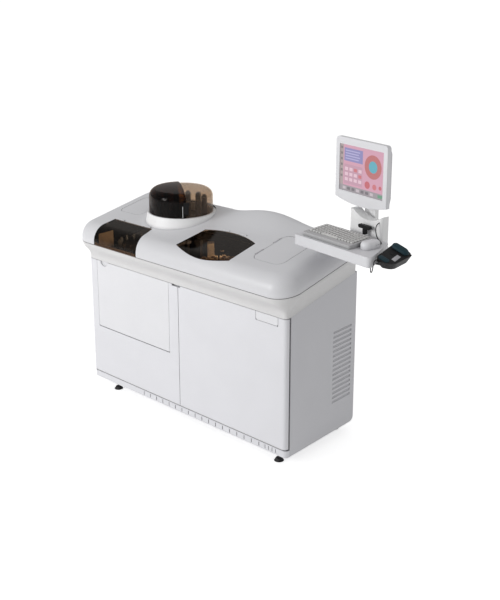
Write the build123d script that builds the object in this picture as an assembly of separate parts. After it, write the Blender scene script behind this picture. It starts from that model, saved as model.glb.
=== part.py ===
from build123d import *
from math import atan, cos, degrees, dist, pi, radians, sin, tan
import os

# Floor-standing immunoassay analyzer. Millimetres, +Z up, seen from the front with +X to the right and +Y to
# the rear. Everything is laid out from the front left floor corner of the cabinet, and moved to its origin at
# the end. MODULE is a step of the layout along the width.

# Cabinet
CAB_W = 1400.0
CAB_D = 530.0
CAB_CORNER = 22.0
MODULE = CAB_W / 140.0
ABOVE = 400.0
AROUND = 300.0
KICK_BOTTOM = 53.0
KICK_TOP = 87.0
KICK_WALL = 4.0
DOOR_BOTTOM = 95.0
DOOR_TOP = 744.0
DOOR_THICK = 22.0
DOOR_WALL = 3.0
DOOR_SPLIT = 694.0
DOOR_GAP = 3.0
DOOR_EDGE = 2.0
PANEL_T = 6.0
PANEL_FRONT = 30.0
PANEL_CORNER = 26.0
FLOOR_Z = 60.0
FLOOR_T = 4.0
TUBE = 30.0
DECK_Z = 794.0
DECK_T = 6.0
SEAT = 0.3

# Doors and panels
DOOR_PIVOT = 16.0
DOOR_PIVOT_Y = 15.0
DOOR_PIN_R = 4.0
DOOR_PIN_L = 12.0
FLAP_X = (66.0, DOOR_SPLIT - 70.0)
FLAP_BOTTOM = 369.0
FLAP_T = 10.0
FLAP_PIVOT_Z = FLAP_BOTTOM + 7.0
FLAP_PIVOT_Y = 6.0
FLAP_PIN_R = 2.5
FLAP_PIN_L = 9.0
FLAP_GAP = 1.5
TAB_X = (CAB_W - 187.0, CAB_W - 54.0)
TAB_BOTTOM = 703.0
TAB_GAP = 2.0
TAB_POCKET = 7.0
UPRIGHT_Y = (40.0, CAB_D - 40.0)
UPRIGHT_X = (8.0, DOOR_SPLIT - TUBE / 2, CAB_W - 8.0 - TUBE)
INLET = (CAB_W - 110.0, 150.0, 50.0, 30.0)
SIDE_LOUVRES_Y = (CAB_D - 180.0, CAB_D - 34.0)
REAR_LOUVRES_IN = (180.0, 420.0)

# Top, whose planes all rise to the rear by the same slope
SLOPE = 0.19
ALPHA = atan(SLOPE)
SKIRT_LOW = 746.0
COVER_LOW = 867.0
COVER_TOP = 954.3
COVER_SIDE = 45.0
COVER_FRONT = 62.0
COVER_REAR = 5.0
COVER_CORNER = 110.0
COVER_ROUND = 85.0
COVER_WALL = 4.0
SEAM = 3.0
LIP_UP = 10.0
HUMP_RISE = 22.0
HUMP_START_Y = 255.0
HUMP_FROM = 62 * MODULE
HUMP_TO = 121 * MODULE
HUMP_RAMP = 130.0

# Lids, cut from the cover by outlines in plan
LID_GAP = 2.0
KNUCKLE_R = 4.0
PIN_R = 1.5
RUN_FIT = 0.05
KNUCKLE_L = 30.0
KNUCKLE_END = 12.0
SAMPLE_REAR_Y = 84.0
SAMPLE_OUTLINE = [
    (12.4 * MODULE, -80),
    (13.6 * MODULE, SAMPLE_REAR_Y - 3),
    (42.9 * MODULE, SAMPLE_REAR_Y - 3),
    (44.1 * MODULE, 31),
    (45.9 * MODULE, -80),
]
SAMPLE_HINGE_X = (18.0 * MODULE, 38.5 * MODULE)
REAGENT_REAR_Y = 236.0
REAGENT_FRONT_ARC = [(68.6 * MODULE, 2), (85.8 * MODULE, -36), (105.0 * MODULE, -6)]
REAGENT_REAR_ARC = [(104.2 * MODULE, 189), (86.8 * MODULE, 232), (69.5 * MODULE, 200)]
REAGENT_HINGE_X = (80.0 * MODULE, 91.5 * MODULE)
SERVICE_LEFT_X = 111.8 * MODULE
SERVICE_W = 18.4 * MODULE
SERVICE_Y = (62.0, 330.0)
SERVICE_R = 44.0
CORNER_X = (62.0, 226.0)
CORNER_FRONT_Y = 168.0
CORNER_REAR_Y = 372.0
CORNER_R = 34.0

# Dome over the bead carousel
DOME_X = 43.8 * MODULE
DOME_Y = 284.0
DOME_BASE = 1031.0
DOME_R = 172.0
DOME_T = 4.0
DOME_SHOULDER = 82.0
DOME_HEIGHT = 134.0
DOME_FIXED_GAP = 3.0
DOME_STEP = DOME_T + DOME_FIXED_GAP
DOME_SEAM_DEG = -37.0
COLLAR_R = 189.7
COLLAR_TOP_R = 180.0
COLLAR_BOTTOM = 955.0
COLLAR_WALL_H = 30.0
DOME_HOLE_GAP = 0.3

# Rotors on the deck: centre, radius
SAMPLE_AT = (29.0 * MODULE, 120.0)
REAGENT_AT = (86.0 * MODULE, 125.0)
INCUBATOR_AT = (119.0 * MODULE, 215.0)
ROTOR_R = 130.0
INCUBATOR_R = 112.0
BEAD_R = 150.0
SHAFT_R = 8.0
HUB_R = 20.0
TUBE_RING_R = 112.0
SAMPLE_TUBES = 16
SAMPLE_TUBE_R = 7.0
REAGENT_PACKS = 12
BEAD_TUBES = 12
BEAD_TUBE_R = 15.0
BEAD_RING_R = 122.0
SAMPLE_PROBE_AT = (57.5 * MODULE, 185.0)
REAGENT_PROBE_AT = (103.5 * MODULE, 104.0)
SAMPLE_REACH = dist(SAMPLE_PROBE_AT, SAMPLE_AT) - TUBE_RING_R
REAGENT_REACH = 110.0
POST_R = 14.0
ARM_Z = 900.0
ARM_T = 14.0
PROBE_STROKE = 14.0

ROTOR_BASE = DECK_Z + DECK_T + 8.0
RACK_Z = (ROTOR_BASE + 10.0, ROTOR_BASE + 42.0)
TUBE_TOP = ROTOR_BASE + 68.0
SAMPLE_HUB_TOP = ROTOR_BASE + 58.0
REAGENT_HUB_TOP = ROTOR_BASE + 68.0
INCUBATOR_HUB_TOP = ROTOR_BASE + 54.0
POST_SOCKET_TOP = ROTOR_BASE + 18.0
BEAD_DROP = 47.0
BEAD_BASE = DOME_BASE - BEAD_DROP
BEAD_HUB_TOP = BEAD_BASE + 28.0
BEAD_TUBE_TOP = BEAD_BASE + 122.0
LUMINOMETER_X = (106 * MODULE, 116 * MODULE)
LUMINOMETER_Y = (CAB_D - 158.0, CAB_D - 60.0)

# Pieces in the bays below the deck
WASTE_X = (104 * MODULE, 124 * MODULE)
WASTE_Y = (CAB_D - 350.0, CAB_D - 90.0)
WASTE_TOP = 420.0
PUMPS_X = (77 * MODULE, 101 * MODULE)
PUMPS_Y = (CAB_D - 230.0, CAB_D - 110.0)
BOTTLES_X = (150.0, 350.0, 550.0)
BOTTLES_Y = (CAB_D - 350.0, CAB_D - 150.0)
SUPPLY_X = CAB_W - 138.0
SUPPLY_Y = (CAB_D - 330.0, CAB_D - 50.0)

# Workstation, laid out on the tray's front edge
TRAY_AT = (CAB_W - 68.0, 122.0)
TRAY_YAW = -9.0
KEYBOARD_AT = (40.0, 20.0)
KEYBOARD_W = 294.0
KEYBOARD_RIGHT = KEYBOARD_AT[0] + KEYBOARD_W
TRAY_W = KEYBOARD_RIGHT + 144.0
TRAY_D = 225.0
TRAY_RIGHT_REAR = KEYBOARD_RIGHT + 38.0
TRAY_Z = 1065.3
TRAY_H = 46.0
TRAY_WALL = 4.0
ARM_POST_AT = (CAB_W - 60.0, CAB_D - 90.0)
ARM_POST_R = 24.0
ARM_POST_TOP = 1064.0
TRAY_ARM_T = 14.7
KEYBOARD_D = 148.0
KEYBOARD_FRONT_H = 16.0
KEYBOARD_REAR_H = 26.0
KEY_COLUMNS = 15
KEY_ROWS = 6
KEY_SIDE = 11.0
KEY_FRONT = 28.0
KEY_REAR = 10.0
KEY_GAP = 1.6
KEY_HEIGHT = 10.0
KEY_WELL = 6.0
KEY_TRAVEL = 3.0
SPACE_FROM, SPACE_TO = 4, 10
MOUSE_AT = (KEYBOARD_RIGHT + 36.0, 112.0)
MOUSE_L = 96.0
MOUSE_W = 54.0
MOUSE_H = 32.0
MOUSE_GAP = 0.4
SUPPORT_U = (-56.0, 153.0)
SUPPORT_V = (-8.0, 42.0)
SUPPORT_TOP = 1217.0
SUPPORT_WALL = 5.0
SUPPORT_HOLLOW_TOP = 1110.0
HANDLE_AT = (72.0, 1150.0)
HANDLE_STEM_R = 8.0
NECK_HALF = 35.0
EAR_T = 8.0
BOSS_HALF = 26.0
TILT_R = 5.0
TILT_BEHIND = 14.0
NECK_Z = (SUPPORT_TOP - 87.0, SUPPORT_TOP - 47.0)
SCREEN_W = 286.0
SCREEN_H = 214.5
BEZEL_SIDE = 24.0
BEZEL_TOP = 32.0
BEZEL_CHIN = 34.0
CHIN_DROP = 22.0
MONITOR_AT = (173.5, 241.0)
MONITOR_YAW = -3.0
SCREEN_CENTRE_Z = 1395.0
BEZEL_T = 22.0
BACK_T = 40.0

# Scanner in its cradle at the tray's right end
SCANNER_AT = (TRAY_W - 26.0, 44.0)
SCANNER_YAW = 14.0
SCANNER_L = 176.0
SCANNER_FIT = 0.6
CRADLE_W = 96.0
CRADLE_Z = 1058.0
CRADLE_H = 30.0
CRADLE_WALL = 3.0
CRADLE_TAPER = 32.0
CRADLE_SIDE = 4.0
SCANNER_TOP = (CRADLE_Z + 70.0, CRADLE_Z + 34.0, CRADLE_Z + 46.0)
TRIGGER_AT = (40.0, 92.0)
TRIGGER_R = 9.0
TRIGGER_TRAVEL = 2.5
TRIGGER_SEAT_Z = CRADLE_Z + 12.0
CORD_R = 2.2
GLAND_R = 5.5

ARM_BASE = TRAY_Z - SEAT - TRAY_ARM_T
TRAY_TOP = TRAY_Z + TRAY_H
MONITOR_OUT_W = SCREEN_W + 2 * BEZEL_SIDE
MONITOR_BACK_V = BEZEL_T + BACK_T
TILT_V = MONITOR_BACK_V + TILT_BEHIND
TILT_Z = -SCREEN_H / 2 + 10.0

# Cord routes, as points on the tray's own axes
SCANNER_CORD = [
    (TRAY_W - 8, 52, CRADLE_Z + 37),
    (TRAY_W - 8, 34, CRADLE_Z + 37),
    (TRAY_W + 2, 17, CRADLE_Z + 26),
    (TRAY_W + 10, 6, CRADLE_Z + 11),
    (TRAY_W + 6, 5, CRADLE_Z - 6),
    (TRAY_W - 10, 15, CRADLE_Z - 13),
    (TRAY_W - 26, 30, CRADLE_Z - 3),
    (TRAY_W - 26, 30, CRADLE_Z + 17),
]
MOUSE_CORD = [
    (MOUSE_AT[0], MOUSE_AT[1] + 40, TRAY_TOP + 5.2),
    (MOUSE_AT[0], MOUSE_AT[1] + 60, TRAY_TOP + 5.2),
    (MOUSE_AT[0] - 8, MOUSE_AT[1] + 78, TRAY_TOP + 2.5),
    (MOUSE_AT[0] - 24, MOUSE_AT[1] + 91, TRAY_TOP + 2.5),
    (328, 207, TRAY_TOP + 6.7),
    (316, 206, TRAY_TOP + 21.7),
    (311, 205, TRAY_TOP + 41.7),
    (310, 206, TRAY_TOP + 62.7),
    (311, 219, TRAY_TOP + 77.7),
    (311, 238, TRAY_TOP + 77.7),
]
CORD_FIT = 0.4


def block(x0, x1, y0, y1, z0, z1):
    return Pos((x0 + x1) / 2, (y0 + y1) / 2, (z0 + z1) / 2) * Box(x1 - x0, y1 - y0, z1 - z0)


def rod(x, y, z0, z1, r):
    return Pos(x, y, (z0 + z1) / 2) * Cylinder(r, z1 - z0)


def rod_x(x0, x1, y, z, r):
    return Pos((x0 + x1) / 2, y, z) * Rot(0, 90, 0) * Cylinder(r, x1 - x0)


def rod_y(x, y0, y1, z, r):
    return Pos(x, (y0 + y1) / 2, z) * Rot(90, 0, 0) * Cylinder(r, y1 - y0)


def along_x(points, x0, x1):
    return extrude(Plane.YZ.offset(x0) * Polygon(*points, align=None), amount=x1 - x0)


def upright(face, z0, z1):
    return extrude(Pos(0, 0, z0) * face, amount=z1 - z0, dir=(0, 0, 1))


def rounded_plan(x0, x1, y0, y1, radius):
    return Pos((x0 + x1) / 2, (y0 + y1) / 2) * RectangleRounded(x1 - x0, y1 - y0, radius)


def sloped_band(low, high):
    front, rear = -AROUND, CAB_D + AROUND
    points = [
        (front, low + SLOPE * front),
        (rear, low + SLOPE * rear),
        (rear, high + SLOPE * rear),
        (front, high + SLOPE * front),
    ]
    return along_x(points, -AROUND, CAB_W + AROUND)


def group(solids):
    return Compound(children=list(solids))


def ring_of(shape, count, centre, start=0.0):
    at = Pos(centre[0], centre[1], 0)
    return [at * Rot(0, 0, start + 360.0 * i / count) * shape for i in range(count)]


# Cover form

def cover_limits(inset):
    x0, x1 = -COVER_SIDE + inset, CAB_W + COVER_SIDE - inset
    return x0, x1, -COVER_FRONT + inset, CAB_D + COVER_REAR - inset


def cover_plan(inset):
    x0, x1, y0, y1 = cover_limits(inset)
    return rounded_plan(x0, x1, y0, y1, COVER_CORNER - inset)


def cover_slab(inset, low):
    top = COVER_TOP - inset / cos(ALPHA)
    body = upright(cover_plan(inset), low - ABOVE, top + ABOVE) & sloped_band(low, top)
    face = body.faces().sort_by(Axis.Z)[-1]
    return fillet(face.edges(), COVER_ROUND - inset)


def crown_section(x, rise, inset, low):
    y0, y1 = cover_limits(inset)[2:]
    top = COVER_TOP - inset / cos(ALPHA)
    radius = COVER_ROUND - inset
    front = (y0 + radius, top + SLOPE * (y0 + radius) - radius / cos(ALPHA))
    rear = (y1 - radius, top + rise + SLOPE * (y1 - radius) - radius / cos(ALPHA))
    tilt = degrees(ALPHA)

    def on(centre, angle):
        return (centre[0] + radius * cos(radians(angle)), centre[1] + radius * sin(radians(angle)))

    crest_front = on(front, 90 + tilt)
    start = (HUMP_START_Y, top + SLOPE * HUMP_START_Y)
    crest_rear = on(rear, 90 + tilt)
    along = (cos(ALPHA), sin(ALPHA))
    foot_front = (y0, low + SLOPE * y0)
    foot_rear = (y1, low + SLOPE * y1)
    edges = [
        Line(foot_front, on(front, 180)),
        ThreePointArc(on(front, 180), on(front, 135 + tilt / 2), crest_front),
        Line(crest_front, start),
        Spline(start, crest_rear, tangents=[along, along]),
        ThreePointArc(crest_rear, on(rear, 45 + tilt / 2), on(rear, 0)),
        Line(on(rear, 0), foot_rear),
        Line(foot_rear, foot_front),
    ]
    return Plane.YZ.offset(x) * make_face(Wire(edges))


def cover_form(inset, low):
    deep = low - 45.0
    slab = cover_slab(inset, deep)
    middle = block(HUMP_FROM, HUMP_TO, -AROUND, CAB_D + AROUND, low - ABOVE, low + 2 * ABOVE)
    flat = HUMP_RAMP / 3
    steps = [
        (HUMP_FROM, 0.0),
        (HUMP_FROM + flat, 0.0),
        (HUMP_FROM + flat + HUMP_RAMP, HUMP_RISE),
        (HUMP_TO - flat - HUMP_RAMP, HUMP_RISE),
        (HUMP_TO - flat, 0.0),
        (HUMP_TO, 0.0),
    ]
    crown = loft([crown_section(x, rise, inset, deep) for x, rise in steps])
    return ((slab - middle) + crown) & sloped_band(low, COVER_TOP + 150.0)


COVER_OUTER = cover_form(0.0, COVER_LOW)
COVER_INNER = cover_form(COVER_WALL, COVER_LOW - 30.0)
COVER_SHELL = COVER_OUTER - COVER_INNER


def top_z(y):
    return COVER_TOP + SLOPE * y


# Lid outlines and hinges

def lens_outline(front, rear):
    right, left = Line(front[-1], rear[0]), Line(rear[-1], front[0])
    return make_face(Wire([ThreePointArc(*front), right, ThreePointArc(*rear), left]))


SAMPLE_OPENING = Sketch() + Polygon(*SAMPLE_OUTLINE, align=None)
REAGENT_OPENING = Sketch() + lens_outline(REAGENT_FRONT_ARC, REAGENT_REAR_ARC)
SERVICE_OPENING = Sketch() + rounded_plan(
    SERVICE_LEFT_X + 3, SERVICE_LEFT_X + SERVICE_W, SERVICE_Y[0], SERVICE_Y[1], SERVICE_R
)
CORNER_OPENING = Sketch() + rounded_plan(*CORNER_X, CORNER_FRONT_Y, CORNER_REAR_Y - 3, CORNER_R)


def hinge(plane, reach):
    """One knuckle hinge: what the lid gains, what the cover loses and gains, the bore, and the pin."""
    rise = KNUCKLE_R - 0.6
    low, high = 0.4, 3.4
    clear = 0.5
    lid = Cylinder(KNUCKLE_R, KNUCKLE_L)
    lid += block(0, reach + 3, low, high, -KNUCKLE_L / 2, KNUCKLE_L / 2)
    notch = Cylinder(KNUCKLE_R + 0.8, KNUCKLE_L + 2 * clear)
    notch += block(0, reach, -rise - 2, rise + 2, -KNUCKLE_L / 2 - clear, KNUCKLE_L / 2 + clear)
    out = KNUCKLE_L / 2 + clear + KNUCKLE_END / 2
    ends = [Pos(0, 0, side * out) * Cylinder(KNUCKLE_R, KNUCKLE_END) for side in (-1, 1)]
    half = KNUCKLE_L / 2 + clear + KNUCKLE_END
    bore = Cylinder(PIN_R + RUN_FIT, 2 * half + 2)
    pin = Cylinder(PIN_R, 2 * half)
    return [plane * part for part in (lid, notch, ends[0] + ends[1], bore, pin)]


def lid_from(opening, hinges):
    """The lid cut from the shell, the cover's opening and knuckles, and the pins."""
    inside = offset(opening, amount=-LID_GAP)
    lid = COVER_SHELL & upright(inside, COVER_LOW - ABOVE, COVER_TOP + ABOVE)
    cut = upright(opening, COVER_LOW - ABOVE, COVER_TOP + ABOVE)
    keep = Part()
    bores = Part()
    pins = []
    for gains, notch, ends, bore, pin in hinges:
        lid = lid + gains
        cut = cut + notch
        keep = keep + ends
        bores = bores + bore
        pins.append(pin)
    return lid - bores, cut, keep, bores, pins


TOWARD_FRONT = (0, -cos(ALPHA), -sin(ALPHA))
ALONG_SLOPE = (0, cos(ALPHA), sin(ALPHA))


def front_lid_hinges(y, xs, reaches):
    planes = [Plane(origin=(x, y, top_z(y)), x_dir=TOWARD_FRONT, z_dir=(1, 0, 0)) for x in xs]
    return [hinge(plane, reach) for plane, reach in zip(planes, reaches)]


def side_lid_hinges(x, ys):
    return [hinge(Plane(origin=(x, y, top_z(y)), x_dir=(1, 0, 0), z_dir=ALONG_SLOPE), 6.0) for y in ys]


SAMPLE_LID = lid_from(SAMPLE_OPENING, front_lid_hinges(SAMPLE_REAR_Y, SAMPLE_HINGE_X, (5.0, 5.0)))
REAGENT_LID = lid_from(REAGENT_OPENING, front_lid_hinges(REAGENT_REAR_Y, REAGENT_HINGE_X, (15.0, 15.0)))
SERVICE_LID = lid_from(SERVICE_OPENING, side_lid_hinges(SERVICE_LEFT_X, (130.0, 262.0)))
CORNER_LID = lid_from(CORNER_OPENING, front_lid_hinges(CORNER_REAR_Y, (112.0, 176.0), (5.0, 5.0)))
LIDS = (SAMPLE_LID, REAGENT_LID, SERVICE_LID, CORNER_LID)


def top_cover():
    shell = COVER_SHELL
    for lid, cut, keep, bores, pins in LIDS:
        shell = shell - cut + keep - bores
    shell = shell - collar_hole()
    return shell - rod(*ARM_POST_AT, COVER_TOP - 50.0, COVER_TOP + ABOVE, ARM_POST_R + 3)


# Dome

def dome_half(radius, height, shoulder, thickness, start, sweep):
    plane = Plane(
        origin=(DOME_X, DOME_Y, DOME_BASE + SEAT),
        x_dir=(cos(radians(start)), sin(radians(start)), 0),
        z_dir=(sin(radians(start)), -cos(radians(start)), 0),
    )

    def skin(inset):
        r = radius - inset
        h = height - inset
        s = shoulder
        turn = (r - 0.17 * radius, h - 0.2 * (h - s))
        edges = [
            Line((0, 0), (r, 0)),
            Line((r, 0), (r, s)),
            ThreePointArc((r, s), (r - 0.045 * radius, s + 0.58 * (turn[1] - s)), turn),
            ThreePointArc(turn, (0.5 * turn[0], h - 0.25 * (h - turn[1])), (0, h)),
            Line((0, h), (0, 0)),
        ]
        return make_face(Wire(edges))

    section = skin(0.0) - skin(thickness)
    return revolve(plane * section, axis=Axis((DOME_X, DOME_Y, 0), (0, 0, 1)), revolution_arc=sweep)


def dome_turned(points):
    """The form that a section, given as radius and height, makes round the dome's axis."""
    plane = Plane(origin=(DOME_X, DOME_Y, 0), x_dir=(1, 0, 0), z_dir=(0, -1, 0))
    section = make_face(Wire(Polyline(*points, close=True)))
    return revolve(plane * section, axis=Axis((DOME_X, DOME_Y, 0), (0, 0, 1)))


def dome_collar():
    return dome_turned([
        (DOME_R - 12, COLLAR_BOTTOM),
        (COLLAR_R, COLLAR_BOTTOM),
        (COLLAR_R, COLLAR_BOTTOM + COLLAR_WALL_H),
        (COLLAR_TOP_R, DOME_BASE),
        (DOME_R - 12, DOME_BASE),
    ])


def collar_hole():
    """The cover's hole, which follows the collar's flank all round at one gap."""
    low, high = COVER_LOW - ABOVE, COVER_TOP + ABOVE
    gap = DOME_HOLE_GAP
    return dome_turned([
        (0, low),
        (COLLAR_R + gap, low),
        (COLLAR_R + gap, COLLAR_BOTTOM + COLLAR_WALL_H),
        (COLLAR_TOP_R + gap, DOME_BASE),
        (COLLAR_TOP_R + gap, high),
        (0, high),
    ])


def dome_handle():
    """A grip on the turning half's edge, with a thicker head, which reaches a little over the fixed half."""
    bars = []
    for low, high, out, left, right in ((20, 84, 9, -8, 13), (62, 84, 14, -11, 16)):
        z0, z1 = DOME_BASE + low, DOME_BASE + high
        ring = rod(DOME_X, DOME_Y, z0, z1, DOME_R + out) - rod(DOME_X, DOME_Y, z0 - 1, z1 + 1, DOME_R + SEAT)
        bars.append(ring & (Pos(DOME_X, DOME_Y, 0) * Rot(0, 0, DOME_SEAM_DEG) * block(100, 220, left, right, z0, z1)))
    return bars[0] + bars[1]


# Skirt between cabinet and cover

def skirt_form(inset):
    sections = []
    low, high = SKIRT_LOW, COVER_LOW - SEAM
    for share, out in ((0.0, 0.0), (0.3, 0.1), (0.7, 0.72), (1.0, 1.0)):
        x0 = -COVER_SIDE * out + inset
        x1 = CAB_W + COVER_SIDE * out - inset
        y0 = -COVER_FRONT * out + inset
        y1 = CAB_D + COVER_REAR * out - inset
        radius = CAB_CORNER + (COVER_CORNER - CAB_CORNER) * out - inset
        base = low + (high - low) * share
        middle = (y0 + y1) / 2
        centre = ((x0 + x1) / 2, middle, base + SLOPE * middle)
        plane = Plane(origin=centre, x_dir=(1, 0, 0), z_dir=(0, -sin(ALPHA), cos(ALPHA)))
        sections.append(plane * RectangleRounded(x1 - x0, (y1 - y0) / cos(ALPHA), radius))
    return loft(sections)


def skirt_band():
    wall = skirt_form(0.0) - skirt_form(COVER_WALL)
    low, high = COVER_LOW - ABOVE, COVER_TOP + ABOVE
    lip = upright(cover_plan(COVER_WALL + SEAT), low, high)
    lip -= upright(cover_plan(COVER_WALL + 4.5), low - 10, high + 10)
    lip = lip & sloped_band(COVER_LOW - SEAM - 14, COVER_LOW + LIP_UP)
    return wall + (lip & cover_form(COVER_WALL + SEAT, COVER_LOW - 30.0))


# Cabinet

def side_panel(x0, louvres):
    top = SKIRT_LOW - SEAT
    points = [
        (PANEL_FRONT, KICK_BOTTOM),
        (CAB_D, KICK_BOTTOM),
        (CAB_D, top + SLOPE * CAB_D),
        (PANEL_FRONT, top + SLOPE * PANEL_FRONT),
    ]
    panel = along_x(points, x0, x0 + PANEL_T)
    low_edges = panel.edges().filter_by(Axis.X).group_by(Axis.Z)[0]
    corner = low_edges.sort_by(Axis.Y)[-1]
    panel = fillet(corner, PANEL_CORNER)
    if louvres:
        for i in range(16):
            z = 208.0 + 24.3 * i
            panel -= block(x0 - 1, x0 + PANEL_T + 1, *SIDE_LOUVRES_Y, z, z + 11.0)
    return panel


def rear_panel():
    side = PANEL_T + SEAT
    top = SKIRT_LOW - SEAT
    near = CAB_D - PANEL_T
    points = [
        (near, KICK_BOTTOM + 10),
        (CAB_D, KICK_BOTTOM + 10),
        (CAB_D, top + SLOPE * CAB_D),
        (near, top + SLOPE * near),
    ]
    panel = along_x(points, side, CAB_W - side)
    for i in range(9):
        z = 300.0 + 22.0 * i
        near, far = REAR_LOUVRES_IN
        panel -= block(near, far, CAB_D - 20, CAB_D + 5, z, z + 9.0)
        panel -= block(CAB_W - far, CAB_W - near, CAB_D - 20, CAB_D + 5, z, z + 9.0)
    x, z, w, h = INLET
    return panel - block(x - w / 2, x + w / 2, CAB_D - 20, CAB_D + 5, z - h / 2, z + h / 2)


def power_inlet():
    x, z, w, h = INLET
    flange = block(x - w / 2 - 6, x + w / 2 + 6, CAB_D + SEAT, CAB_D + 3, z - h / 2 - 6, z + h / 2 + 6)
    body = block(x - w / 2 + 1, x + w / 2 - 1, CAB_D - 34, CAB_D + 3, z - h / 2 + 1, z + h / 2 - 1)
    socket = block(x - 14, x + 14, CAB_D - 18, CAB_D + 5, z - 10, z + 10)
    pins = [rod_y(x + dx, CAB_D - 20, CAB_D - 4, z + dz, 2.0) for dx, dz in ((-7, -2), (0, 4), (7, -2))]
    return flange + body - socket + pins[0] + pins[1] + pins[2]


def floor_pan():
    side = PANEL_T + SEAT
    front = 3.0 + KICK_WALL + 1 + SEAT
    plan = rounded_plan(side, CAB_W - side, front, CAB_D - side, CAB_CORNER - KICK_WALL)
    return upright(plan, FLOOR_Z, FLOOR_Z + FLOOR_T)


def kick_plate():
    outer = rounded_plan(0, CAB_W, 3.0, CAB_D, CAB_CORNER)
    front = 3.0 + KICK_WALL + 1
    inner = rounded_plan(KICK_WALL, CAB_W - KICK_WALL, front, CAB_D - 20, CAB_CORNER - KICK_WALL)
    plate = upright(outer - inner, KICK_BOTTOM, KICK_TOP)
    plate = plate & block(-5, CAB_W + 5, 0, PANEL_FRONT - 1, 0, 200)
    for i in range(18):
        x = CAB_W - 985.0 + 48.0 * i
        plate -= block(x - 2.5, x + 2.5, 0, 20, KICK_BOTTOM + 8, KICK_TOP - 5)
    for i in range(4):
        x = CAB_W - 130.0 + 22.0 * i
        plate -= block(x - 2.0, x + 2.0, 0, 20, KICK_BOTTOM + 8, KICK_TOP - 5)
    return plate


def chassis_frame():
    low = FLOOR_Z + FLOOR_T
    frame = Part()
    for x in UPRIGHT_X:
        for y in UPRIGHT_Y:
            frame += block(x, x + TUBE, y, y + TUBE, low, DECK_Z)
    for z0, z1 in ((low, low + 20), (DECK_Z - TUBE, DECK_Z)):
        for y in UPRIGHT_Y:
            frame += block(UPRIGHT_X[0], UPRIGHT_X[2] + TUBE, y, y + TUBE, z0, z1)
        for x in UPRIGHT_X:
            frame += block(x, x + TUBE, UPRIGHT_Y[0], UPRIGHT_Y[1] + TUBE, z0, z1)
    for x, side in ((0.0, 1), (CAB_W, -1)):
        a, b = sorted((x + side * 9.0, x + side * 30.0))
        for z in (KICK_TOP + 1.5, DOOR_TOP + 1.5):
            lug = block(a, b, 10.0, UPRIGHT_Y[0], z, z + 3.0)
            lug += rod(x + side * DOOR_PIVOT, DOOR_PIVOT_Y, z, z + 3.0, 7.0)
            frame += lug - rod(x + side * DOOR_PIVOT, DOOR_PIVOT_Y, z - 1, z + 4.0, DOOR_PIN_R + RUN_FIT)
    return frame


def deck_plate():
    plate = block(8.0, CAB_W - 8.0, 12.0, CAB_D - PANEL_T - 2, DECK_Z, DECK_Z + DECK_T)
    shafts = (SAMPLE_AT, REAGENT_AT, INCUBATOR_AT, (DOME_X, DOME_Y), SAMPLE_PROBE_AT, REAGENT_PROBE_AT)
    for x, y in shafts:
        plate -= rod(x, y, DECK_Z - 5, DECK_Z + 20, 14.0)
    return plate - rod(ARM_POST_AT[0], ARM_POST_AT[1], DECK_Z - 5, DECK_Z + 20, ARM_POST_R)


# Doors

def door(x0, x1, pivot_x):
    left = pivot_x < CAB_W / 2
    body = block(x0, x1, 0, DOOR_THICK, DOOR_BOTTOM, DOOR_TOP)
    front_edges = body.edges().filter_by(Axis.Z).group_by(Axis.Y)[0]
    body = fillet(front_edges.sort_by(Axis.X)[0 if left else -1], DOOR_THICK - 2)
    pan = block(x0 + 26, x1 - DOOR_WALL, DOOR_WALL, DOOR_THICK + 1, DOOR_BOTTOM + 20, DOOR_TOP - 50)
    if not left:
        pan = block(x0 + DOOR_WALL, x1 - 26, DOOR_WALL, DOOR_THICK + 1, DOOR_BOTTOM + 20, DOOR_TOP - 50)
    body = body - pan
    for z0, z1 in ((DOOR_BOTTOM - 1, DOOR_BOTTOM + DOOR_PIN_L), (DOOR_TOP - DOOR_PIN_L, DOOR_TOP + 1)):
        body -= rod(pivot_x, DOOR_PIVOT_Y, z0, z1, DOOR_PIN_R + RUN_FIT)
    return body


def finger_pull(x0, x1):
    return block(x0, x1, -1, 14, DOOR_TOP - 9, DOOR_TOP + 1)


def left_door():
    body = door(DOOR_EDGE, DOOR_SPLIT - DOOR_GAP / 2, DOOR_PIVOT)
    x0, x1 = FLAP_X
    backing = block(x0 - 8, x1 + 8, DOOR_THICK - 6, DOOR_THICK, FLAP_BOTTOM - 20, DOOR_TOP - 46)
    body += backing
    body -= block(x0 - FLAP_GAP, x1 + FLAP_GAP, -1, DOOR_THICK - 6, FLAP_BOTTOM - 4, DOOR_TOP + 1)
    for x, side in ((x0, -1), (x1, 1)):
        a, b = sorted((x, x + side * (FLAP_PIN_L + 2)))
        body -= rod_x(a, b, FLAP_PIVOT_Y, FLAP_PIVOT_Z, FLAP_PIN_R + RUN_FIT)
    return body - finger_pull(DOOR_SPLIT - 44, DOOR_SPLIT)


def access_flap():
    x0, x1 = FLAP_X
    body = block(x0, x1, 0, FLAP_T, FLAP_BOTTOM, DOOR_TOP)
    corners = [e for e in body.edges().filter_by(Axis.Y) if e.center().Z < FLAP_BOTTOM + 1]
    body = fillet(corners, 8.0)
    scoop = Pos(x0 + 58, 0, DOOR_TOP + 4) * Rot(90, 0, 0) * Cylinder(30, 12)
    body = body - scoop
    for a, b in ((x0 - FLAP_PIN_L, x0 + 12), (x1 - 12, x1 + FLAP_PIN_L)):
        body += rod_x(a, b, FLAP_PIVOT_Y, FLAP_PIVOT_Z, FLAP_PIN_R)
    return body


def right_door():
    body = door(DOOR_SPLIT + DOOR_GAP / 2, CAB_W - DOOR_EDGE, CAB_W - DOOR_PIVOT)
    x0, x1 = TAB_X
    body -= block(x0 - TAB_GAP, x1 + TAB_GAP, -1, TAB_POCKET, TAB_BOTTOM - TAB_GAP, DOOR_TOP + 1)
    return body - finger_pull(DOOR_SPLIT, DOOR_SPLIT + 14)


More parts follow.
